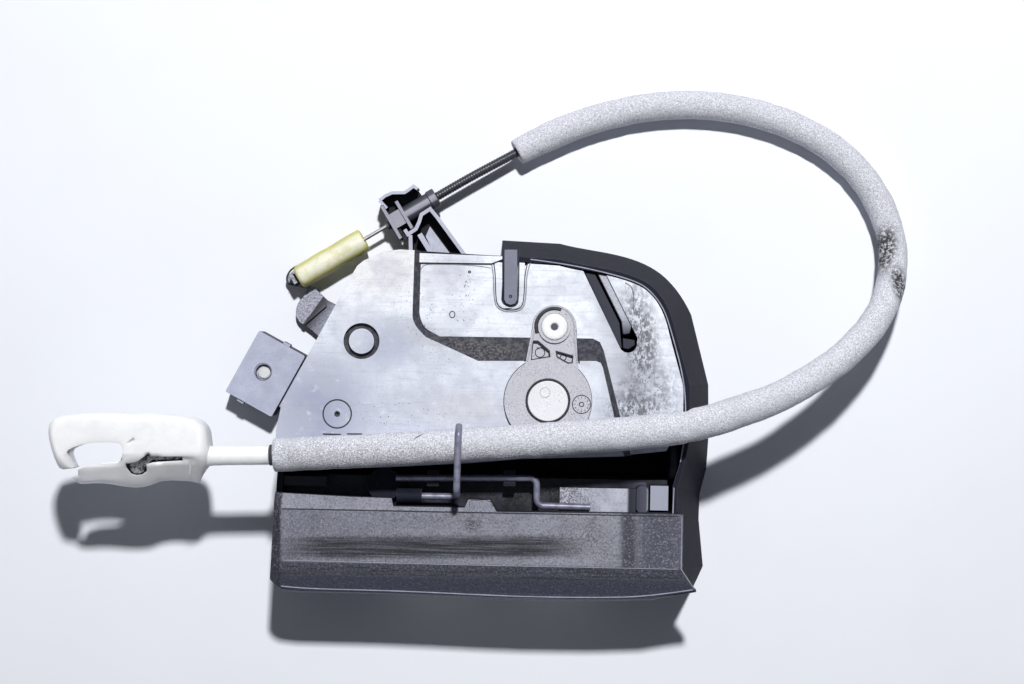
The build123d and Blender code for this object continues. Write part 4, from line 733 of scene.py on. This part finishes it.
# ------------------------------------------------------------------ operators
class LATCH_OT_stage(bpy.types.Operator):
    """Floor, world, key lamp and camera."""
    bl_idname = "latch.stage"
    bl_label = "Set the Stage"

    def execute(self, context):
        scene = context.scene
        eye = bpy.data.cameras.new("camera")
        eye.lens = 59.94
        eye.sensor_width = 36.0
        camera = bpy.data.objects.new("camera", eye)
        camera.location = (0.020, 0.020, 0.805)
        camera.rotation_euler = (0, 0, math.radians(1.05))
        scene.collection.objects.link(camera)
        scene.camera = camera
        scene.view_settings.view_transform = "Standard"

        lamp = bpy.data.lights.new("key", "AREA")
        lamp.energy = sizes().key_power
        lamp.size = sizes().key_size
        key = bpy.data.objects.new("key", lamp)
        key.location = (0.09, 0.658, 1.246)
        key.rotation_euler = (Vector((0.02, 0.0, 0.0)) - key.location).to_track_quat("-Z", "Y").to_euler()
        scene.collection.objects.link(key)

        floor = bpy.data.meshes.new("floor")
        reach, low = 2.5, -0.0004
        corners = [(-reach, -reach, low), (reach, -reach, low), (reach, reach, low), (-reach, reach, low)]
        floor.from_pydata(corners, [], [(0, 1, 2, 3)])
        table = bpy.data.objects.new("floor", floor)
        scene.collection.objects.link(table)
        f = Finish("tabletop")
        white = tuple(colours().floor)
        paint = f.layers(white, (scaled(white, 0.94), f.span(f.grain(90.0), 0.4, 0.7), 0.3))
        floor.materials.append(f.done(paint, 0.9))

        # the sky lights the part dimly, and is bright where it is seen or reflected
        world = bpy.data.worlds.new("studio")
        scene.world = world
        world.use_nodes = True
        tree = world.node_tree
        sky = tree.nodes["Background"]
        sky.inputs[0].default_value = (0.80, 0.84, 0.94, 1)
        rays = tree.nodes.new("ShaderNodeLightPath")
        seen = tree.nodes.new("ShaderNodeMath")
        seen.operation = "MAXIMUM"
        tree.links.new(rays.outputs["Is Camera Ray"], seen.inputs[0])
        tree.links.new(rays.outputs["Is Glossy Ray"], seen.inputs[1])
        strength = tree.nodes.new("ShaderNodeMapRange")
        strength.inputs[3].default_value = 0.095
        strength.inputs[4].default_value = 0.9
        tree.links.new(seen.outputs[0], strength.inputs[0])
        tree.links.new(strength.outputs[0], sky.inputs[1])
        return {"FINISHED"}


class LATCH_OT_cable(bpy.types.Operator):
    """Wound conduit and the foam sleeve that it runs in."""
    bl_idname = "latch.cable"
    bl_label = "Make the Cable"

    def execute(self, context):
        line = spline_line()
        core, pitch, foam_from = sizes().conduit, sizes().winding, FOAM_FROM * MM

        def wound(length, angle, point):
            if length > foam_from + 0.003:
                return core
            return core * (0.97 + 0.06 * math.sin(2 * math.pi * length / pitch + angle))

        stations = along_line(line, 0.0, pitch / 4, foam_from) + along_line(line, foam_from, PATH_STEP * MM)[1:]
        conduit = show("conduit", mesh_of("conduit", *skin(hose(stations, wound, 18))), "conduit_black")
        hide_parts("cable_conduit")
        along_line(line, 0.0, PATH_STEP * MM)

        loop, deck = sizes().foam_on_loop, sizes().foam_on_deck
        stations = along_line(line, foam_from, 0.0014)
        first, last = stations[0][0], stations[-1][0]
        lump, kink = Vector((0.0316, -0.0262, 0.064)), Vector((0.0979, -0.0168, 0.0615))

        def foam(length, angle, point):
            share = (length - first) / (last - first)
            radius = loop + (deck - loop) * eased(share, 0.55, 0.67)
            radius -= 0.0006 * max(0.0, 1 - share / 0.03)
            spot = point / MM + Vector((math.cos(angle), math.sin(angle), 0)) * 6
            radius += 0.00030 * noise.noise(spot / 7.0) + 0.00016 * noise.noise(spot / 2.2)
            swell = max(0.0, 1 - (point - lump).length / 0.005)
            radius += 0.0016 * swell * max(0.0, math.cos(angle + 1.57))
            pinch = max(0.0, 1 - (point - kink).length / 0.004)
            radius -= 0.0016 * pinch * (0.5 + 0.5 * max(0.0, math.cos(angle - 1.57)))
            seam = math.remainder(angle - 1.95 - 0.15 * math.sin(length * 60), 2 * math.pi)
            return radius - 0.0011 * math.exp(-(seam / 0.07) ** 2)

        rows = hose(stations, foam, 44)
        mouths = []
        for end, step in ((0, 1), (-1, -1)):
            centre = stations[end][1]
            inward = (stations[end + step][1] - centre).normalized()
            # the end face and the bore in it: share of the rim's radius, and depth
            mouths.append([[centre + (point - centre) * share + inward * sink for point in rows[end]]
                           for share, sink in ((0.90, -0.0004), (0.42, 0.0), (0.36, 0.003))])
        rows = mouths[0][::-1] + rows + mouths[1]
        sleeve = show("foam", mesh_of("foam", *skin(rows)), "foam_grey")
        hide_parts("foam_sleeve")
        return {"FINISHED"}


class LATCH_OT_finishes(bpy.types.Operator):
    """Finishes of the parts that keep their own shape."""
    bl_idname = "latch.finishes"
    bl_label = "Finish the Parts"

    def execute(self, context):
        for row in frame["record"]["subparts"]:
            for held in frame["nodes"][row["node"]].material_slots:
                held.material = finish_of(OWN_FINISH.get(row["node"], row["material_slot"]))
        return {"FINISHED"}


class LATCH_OT_end_fitting(bpy.types.Operator):
    """White fitting on the cable's far end: stem, open shell, lip and mouth."""
    bl_idname = "latch.end_fitting"
    bl_label = "Make the End Fitting"

    def execute(self, context):
        place = place_at(ROUTE[-1], FITTING_TURN)
        stem = [(0.0, 3.6), (0.4, 4.15), (10, 4.2), (20, 4.15), (STEM_L - 2, 4.3), (STEM_L + 1, 4.8),
                (STEM_L + 5, 5.4)]
        turned("fitting_stem", stem, place, "white_plastic")

        def in_shell(outline, height):
            return [Vector((STEM_L + s, t, height)) * MM for s, t in outline]

        edge = rounded_outline(SHELL)
        rows = [in_shell(drawn_in(edge, draw, SHELL_MIDDLE), height) for height, draw in SHELL_RINGS]
        body = show("fitting_shell", mesh_of("fitting_shell", *skin(rows)), "white_plastic")
        holes = [("hole_recess", rounded_outline(RECESS), -12.0, 12.0), ("hole_window", WINDOW, -3.5, 12.0),
                 ("hole_notch", NOTCH, -12.0, 12.0), ("hole_slit", SLIT, 6.5, 12.0)]
        holes += [(f"hole_channel_{i}", outline, -3.5, WALL_TOP) for i, outline in enumerate(CHANNELS)]
        cutters = []
        for name, outline, low, high in holes:
            rows = [in_shell(outline, height) for height in (low, high)]
            cutter = bpy.data.objects.new(name, mesh_of(name, *skin(rows), smooth=False))
            bpy.context.scene.collection.objects.link(cutter)
            cut = body.modifiers.new(name, "BOOLEAN")
            cut.object = cutter
            cut.solver = "EXACT"
            cutters.append(cutter)
        ready = baked(body)
        body.modifiers.clear()
        body.data = ready
        for cutter in cutters:
            bpy.data.objects.remove(cutter)
        self.let_fall(ready, place)
        ready.polygons.foreach_set("use_smooth", [True] * len(ready.polygons))
        body.modifiers.new("keep flats", "WEIGHTED_NORMAL").keep_sharp = True
        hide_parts("end_fitting")

        lip = [(6.4, -12.0, 7.0), (5.8, -4.0, 7.4), (6.6, 3.0, 6.0), (7.6, 8.0, 2.4)]
        bead("fitting_lip", [tuple(place @ Vector((STEM_L + s, t, z))) for s, t, z in lip], 0.5,
             "white_plastic", kind="NURBS")
        # the dark mouth of the stem is painted shade
        turned("fitting_mouth", [(0.5, 3.2), (0.6, 4.5), (2.0, 4.6), (2.3, 4.1)], place, "white_plastic",
               finish="gap", sides=36)
        return {"FINISHED"}

    def let_fall(self, shell, place):
        """Lowers the crown along the shell's low side, thins it at the loop and puts it in place."""
        form = bmesh.new()
        form.from_mesh(shell)

        def cut(where, across, keep=lambda co: True):
            part = [v for v in form.verts if keep(v.co)]
            part += [e for e in form.edges if all(keep(v.co) for v in e.verts)]
            part += [face for face in form.faces if all(keep(v.co) for v in face.verts)]
            bmesh.ops.bisect_plane(form, geom=part, plane_co=where, plane_no=across)

        # cuts where a slope begins, so that the points can follow it
        for s in (34.0, 36.5, 39.0, 42.0):
            cut(((STEM_L + s) * MM, 0, 0), (1, 0, 0), lambda co: co.z < 3.5 * MM)
        for t in (-2.5, -0.5, 1.5, 4.0, 7.0, 10.0):
            cut((0, t * MM, 0), (0, 1, 0))
        for s in (17.0, 20.0, 23.0, 26.0):
            cut(((STEM_L + s) * MM, 0, 0), (1, 0, 0), lambda co: co.y > -2.6 * MM)
        for vert in form.verts:
            s, t, h = vert.co.x / MM - STEM_L, vert.co.y / MM, vert.co.z / MM
            past = max(0.0, t + 2.5)
            top = CROWN - (0.075 * past * past if past < 6 else 2.7 + 0.9 * (past - 6))
            top -= 0.28 * past * min(1.0, max(0.0, (26 - s) / 9))
            if h <= -WALL_TOP:
                vert.co.z += (-WALL_TOP - h) * 0.8 * eased(s, 34, 42) * MM
            elif h <= WALL_TOP:
                vert.co.z = (h + min(0.0, top - SLIM) * (h + WALL_TOP) / (2 * WALL_TOP)) * MM
            elif top > SLIM:
                vert.co.z = (WALL_TOP + (h - WALL_TOP) * max(0.35, (top - WALL_TOP) / (CROWN - WALL_TOP))) * MM
            else:
                vert.co.z = (min(h, WALL_TOP + (h - WALL_TOP) * 0.35) + top - SLIM) * MM
            vert.co = place @ (vert.co / MM) * MM
        form.to_mesh(shell)
        form.free()


class LATCH_OT_cable_end(bpy.types.Operator):
    """Soft yellow sleeve on the free end of the cable, and the rim of the lever under it."""
    bl_idname = "latch.cable_end"
    bl_label = "Make the Cable End"

    def execute(self, context):
        place = place_at(ROUTE[0], CABLE_TURN + 180)
        radius = sizes().sleeve / MM

        def soft(along, angle):
            return 0.16 * noise.noise(Vector((along / 4, math.cos(angle), math.sin(angle))))

        profile = [(39.4, radius - 2.6), (39.2, radius - 0.7), (39.6, radius - 0.15), (42, radius)]
        profile += [(42 + 2.5 * i, radius + 0.08 * math.sin(i)) for i in range(1, 13)]
        profile += [(73.4, radius - 0.15), (74.3, radius - 0.6), (74.9, radius - 1.6), (75.2, radius - 3.4),
                    (75.2, 0.6)]
        # dark rim round the lever's tip: painted shade
        bead("tip_rim", level(5.0, (-80.6, 45.2), (-84.1, 44.6), (-86.6, 46.8), (-85.2, 51.4), (-80.8, 54.4),
                              (-75.0, 56.0)), 0.45, "coated_steel", "release", "gap", kind="NURBS")
        sleeve = turned("end_sleeve", profile, place, "sleeve_vinyl", "cable_end", sides=32, wobble=soft)
        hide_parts("cable_sleeve")
        return {"FINISHED"}


class LATCH_OT_deck_marks(bpy.types.Operator):
    """Moulding marks, beads and ribs of the casing."""
    bl_idname = "latch.deck_marks"
    bl_label = "Add the Deck Marks"

    def execute(self, context):
        ring("mark_oval", (-6.7, 31.7), 1.15, PANEL_Z, 0.2, BLACK, squash=1.25)
        ring("mark_dot", (0.6, 50.7), 0.45, PANEL_Z, 0.25, BLACK, 16)
        # dark beads in the vents, round the plug and round the clip tongue are painted shade
        bead("vent_0", level(DECK_Z, (-62.4, -22.0), (-54.4, -22.1)), 0.35, *GAP_SHADE)
        bead("vent_1", level(DECK_Z, (-51.8, -21.8), (-45.2, -21.7)), 0.35, *GAP_SHADE)
        ring("plug_gap", PLUG, 6.2, DECK_Z, 0.32, GAP_SHADE, 56)
        ring("plug_well", PLUG, 1.0, DECK_Z, 0.3, GAP_SHADE, 20)
        # clip tongue in its U-shaped bed
        slab("tongue_bed", [(11.4, 57.6), (12.4, 38.2), (15.4, 34.9), (22.2, 34.9), (24.8, 38.0), (25.2, 57.2)],
             47.6, 49.15, *DECK, bevel=0.1)
        slab("tongue", [(15.7, 61.0), (21.8, 61.1), (22.2, 38.8), (21.2, 36.9), (19.1, 36.2), (17.0, 36.9),
                        (16.0, 38.7)], 48.6, 51.0, "black_plastic", finish="tongue", bevel=0.35)
        bead("tongue_line", level(BED_Z + 0.2, (15.2, 60.4), (15.5, 38.5), (16.8, 36.3), (19.1, 35.6),
                                  (21.5, 36.3), (22.7, 38.5), (22.3, 60.4)), 0.3, *GAP_SHADE, kind="NURBS")
        ring("tongue_eye", (19.0, 40.2), 0.5, 51.0, 0.28, GAP_SHADE, 16)
        bead("bed_line", level(BED_Z, (10.2, 57.8), (12.0, 54.0), (12.4, 38.0), (14.4, 34.9), (19.0, 34.0),
                               (23.4, 34.9), (25.0, 38.0), (25.2, 54.0), (27.4, 57.4)), 0.22, *GAP_SHADE,
             kind="NURBS")
        bead("bed_rim", level(BED_Z - 0.1, (9.2, 57.2), (11.2, 53.0), (11.6, 38.0), (13.8, 34.2), (19.0, 33.2),
                              (24.0, 34.2), (25.8, 38.0), (26.0, 53.0), (28.4, 56.8)), 0.25, *DECK,
             kind="NURBS")
        # pale edge of the panel along its top, pale with the deck's painted sheen
        slab("panel_edge", [(-22.0, 58.9), (15.3, 58.1), (15.3, 56.4), (10.4, 54.4), (-22.0, 54.2)],
             PANEL_Z, 50.3, *DECK, bevel=0.4)
        bead("panel_line", [(-21.4, 50.0, 49.0), (-20.8, 53.0, 49.1), (-17.0, 54.0, 49.1), (4.0, 53.8, 49.1),
                            (10.0, 52.6, 49.1)], 0.16, *DECK, kind="NURBS")
        # pale beads along the rim's top and its foot are painted edge highlights
        bead("rim_bead", level(RIM_Z, (27.5, 56.7), (40.8, 55.3), (58.3, 52.1), (73.1, 48.3), (80.1, 44.7),
                               (86.7, 36.7), (90.4, 26.4), (97.3, 2.1), (97.5, -21.4), (95.5, -31.8)), 0.3,
             *EDGE_HIGHLIGHT, kind="NURBS")
        bead("foot_bead", level(RIM_Z, (92.9, -43.2), (92.6, -56.0)), 0.3, *EDGE_HIGHLIGHT)
        # dark wall, ledge pale with painted sheen, and dark foot inside the key slot
        slab("slot_wall", [(51.6, 51.6), (56.2, 51.2), (67.6, 29.4), (68.9, 18.2), (67.9, 18.0)], 40.0, 47.4,
             "black_plastic", finish="recess")
        slab("slot_ledge", [(57.4, 51.3), (62.6, 50.2), (73.2, 29.0), (72.2, 24.6), (69.2, 24.2), (68.5, 30.0)],
             40.0, 47.9, "deck_plastic", finish="ledge", bevel=0.5)
        slab("slot_foot", [(69.2, 22.6), (74.6, 21.9), (74.8, 19.6), (71.8, 17.6), (69.4, 18.2)], 40.0, 46.4,
             "black_plastic", finish="recess")
        bead("worm", level(PANEL_Z, (69.6, 47.1), (72.7, 46.2), (73.7, 40.9), (73.2, 37.2), (74.2, 33.4)), 0.3,
             *DECK, kind="NURBS")
        return {"FINISHED"}


class LATCH_OT_lever_marks(bpy.types.Operator):
    """Ribs, ejector rings and the date clock of the lock lever."""
    bl_idname = "latch.lever_marks"
    bl_label = "Add the Lever Marks"

    def execute(self, context):
        # dark rings, ticks and lines in the lever's grooves and round its hub are painted shade
        ring("clock_ring", CLOCK, 4.0, LEVER_Z, 0.2, LEVER_GAP_SHADE)
        for i in range(12):
            ends = [ring_points(CLOCK, r, LEVER_Z, 12)[i] for r in (2.7, 3.4)]
            bead(f"clock_tick_{i}", ends, 0.14, *LEVER_GAP_SHADE)
        ring("clock_hub", CLOCK, 1.0, LEVER_Z, 0.2, LEVER_GAP_SHADE, 20)
        ring("hub_ring", (34.9, -1.9), 2.2, 58.2, 0.14, LEVER, 32)
        ring("hub_gap", LOCK_AXIS, 9.35, 56.9, 0.42, LEVER_GAP_SHADE, 64)
        bead("disc_shadow", ring_points(LOCK_AXIS, 19.2, 55.5, 96, 118, 412), 0.3, *LEVER_GAP_SHADE, kind="NURBS")
        ring("eye_seat", EYE, 6.9, LEVER_Z, 0.2, LEVER_GAP_SHADE, 40)
        bead("eye_groove", ring_points(EYE, 8.0, LEVER_Z - 0.2, 24, 70, 200), 1.0, *LEVER_GAP_SHADE, kind="NURBS")
        # raised rim of the arm and the dark line of painted shade at its foot
        arm = [(26.4, 11.6), (28.2, 18.0), (29.6, 26.6)]
        arm += [(x, y) for x, y, _ in ring_points(EYE, 9.0, 0, 14, 180, 0)]
        arm += [(47.9, 18.0), (49.2, 11.2)]
        for name, width, shift, height, thick, stuff in (("arm_rim", 0.965, 0.0, LEVER_Z, 0.32, LEVER),
                                                         ("arm_foot", 1.05, 0.2, 55.4, 0.3, LEVER_GAP_SHADE)):
            bead(name, [(EYE[0] + (x - EYE[0]) * width, y + shift, height) for x, y in arm], thick, *stuff,
                 kind="NURBS")
        pockets = ([(29.2, 20.6), (31.4, 20.6), (36.4, 16.4), (36.8, 13.9), (28.6, 12.4)],
                   [(39.3, 16.4), (46.8, 14.4), (46.6, 11.4), (44.7, 11.2), (39.9, 13.8)])
        for i, outline in enumerate(pockets):
            slab(f"pocket_floor_{i}", outline, 55.1, 55.5, *LEVER, bevel=0.1)
            bead(f"pocket_edge_{i}", level(LEVER_Z - 0.1, *outline), 0.36, *LEVER_GAP_SHADE, closed=True)
        for i, (centre, radius) in enumerate((((32.4, 15.6), 2.1), ((42.6, 13.6), 1.3))):
            ring(f"pocket_ring_{i}", centre, radius, 55.6, 0.2, LEVER_GAP_SHADE, 28)
        return {"FINISHED"}


class LATCH_OT_lid_marks(bpy.types.Operator):
    """Creases, end line, lip and tab of the latch cover."""
    bl_idname = "latch.lid_marks"
    bl_label = "Add the Lid Marks"

    def execute(self, context):
        # the dark upper crease is painted shade; the pale lower crease, end line and lip are painted highlights
        bead("crease_upper", [(-80.0, -55.2, 54.6), (0.0, -55.3, 54.7), (94.5, -55.4, 54.6)], 0.28, *GAP_SHADE)
        bead("crease_lower", [(-78.6, -77.6, 56.9), (0.0, -78.2, 57.0), (94.5, -78.4, 57.0)], 0.16, *EDGE_HIGHLIGHT)
        bead("lid_end_line", [(96.2, -55.6, 54.6), (96.0, -78.3, 56.9), (102.4, -87.6, 53.0)], 0.24, *EDGE_HIGHLIGHT)
        bead("lid_lip", [(-80.0, -89.6, 52.3), (-71.7, -90.6, 51.9), (-36.3, -90.8, 51.8), (-14.2, -91.3, 51.6),
                         (7.9, -92.0, 51.5), (30.0, -92.5, 51.4), (61.0, -92.3, 51.45), (83.0, -91.3, 51.6),
                         (101.8, -87.8, 53.0)], 0.28, *EDGE_HIGHLIGHT, kind="NURBS")
        slab("strip_tab", [(2.6, -50.4), (9.4, -49.8), (12.6, -51.0), (13.2, -53.4), (11.8, -54.9),
                           (2.0, -54.7)], 51.4, 53.6, "black_plastic", finish="lid", bevel=0.5)
        return {"FINISHED"}


class LATCH_OT_connector_marks(bpy.types.Operator):
    """Plain moulding marks of the connector. Its top stays bare."""
    bl_idname = "latch.connector_marks"
    bl_label = "Add the Connector Marks"

    def execute(self, context):
        ring("well_rim", (-94.9, 4.1), 3.9, 16.0, 0.25, ("connector_plastic",))
        return {"FINISHED"}


class LATCH_PT_panel(bpy.types.Panel):
    """Steps and settings of the latch's dressing."""
    bl_label = "Door Latch"
    bl_idname = "LATCH_PT_panel"
    bl_space_type = "VIEW_3D"
    bl_region_type = "UI"
    bl_category = "Latch"

    def draw(self, context):
        column = self.layout.column()
        for settings in (context.scene.latch_sizes, context.scene.latch_colours):
            for key in settings.bl_rna.properties.keys():
                if key not in ("rna_type", "name"):
                    column.prop(settings, key)
        for step in STEPS:
            column.operator(step.bl_idname)


STEPS = (LATCH_OT_stage, LATCH_OT_cable, LATCH_OT_finishes, LATCH_OT_end_fitting, LATCH_OT_cable_end,
         LATCH_OT_deck_marks, LATCH_OT_lever_marks, LATCH_OT_lid_marks, LATCH_OT_connector_marks)
CLASSES = (LatchSizes, LatchColours, *STEPS, LATCH_PT_panel)


def register():
    for kind in CLASSES:
        bpy.utils.register_class(kind)
    bpy.types.Scene.latch_sizes = PointerProperty(type=LatchSizes)
    bpy.types.Scene.latch_colours = PointerProperty(type=LatchColours)


def unregister():
    del bpy.types.Scene.latch_colours
    del bpy.types.Scene.latch_sizes
    for kind in reversed(CLASSES):
        bpy.utils.unregister_class(kind)


def main():
    register()
    for step in STEPS:
        group, name = step.bl_idname.split(".")
        getattr(getattr(bpy.ops, group), name)()


if __name__ == "__main__":
    main()
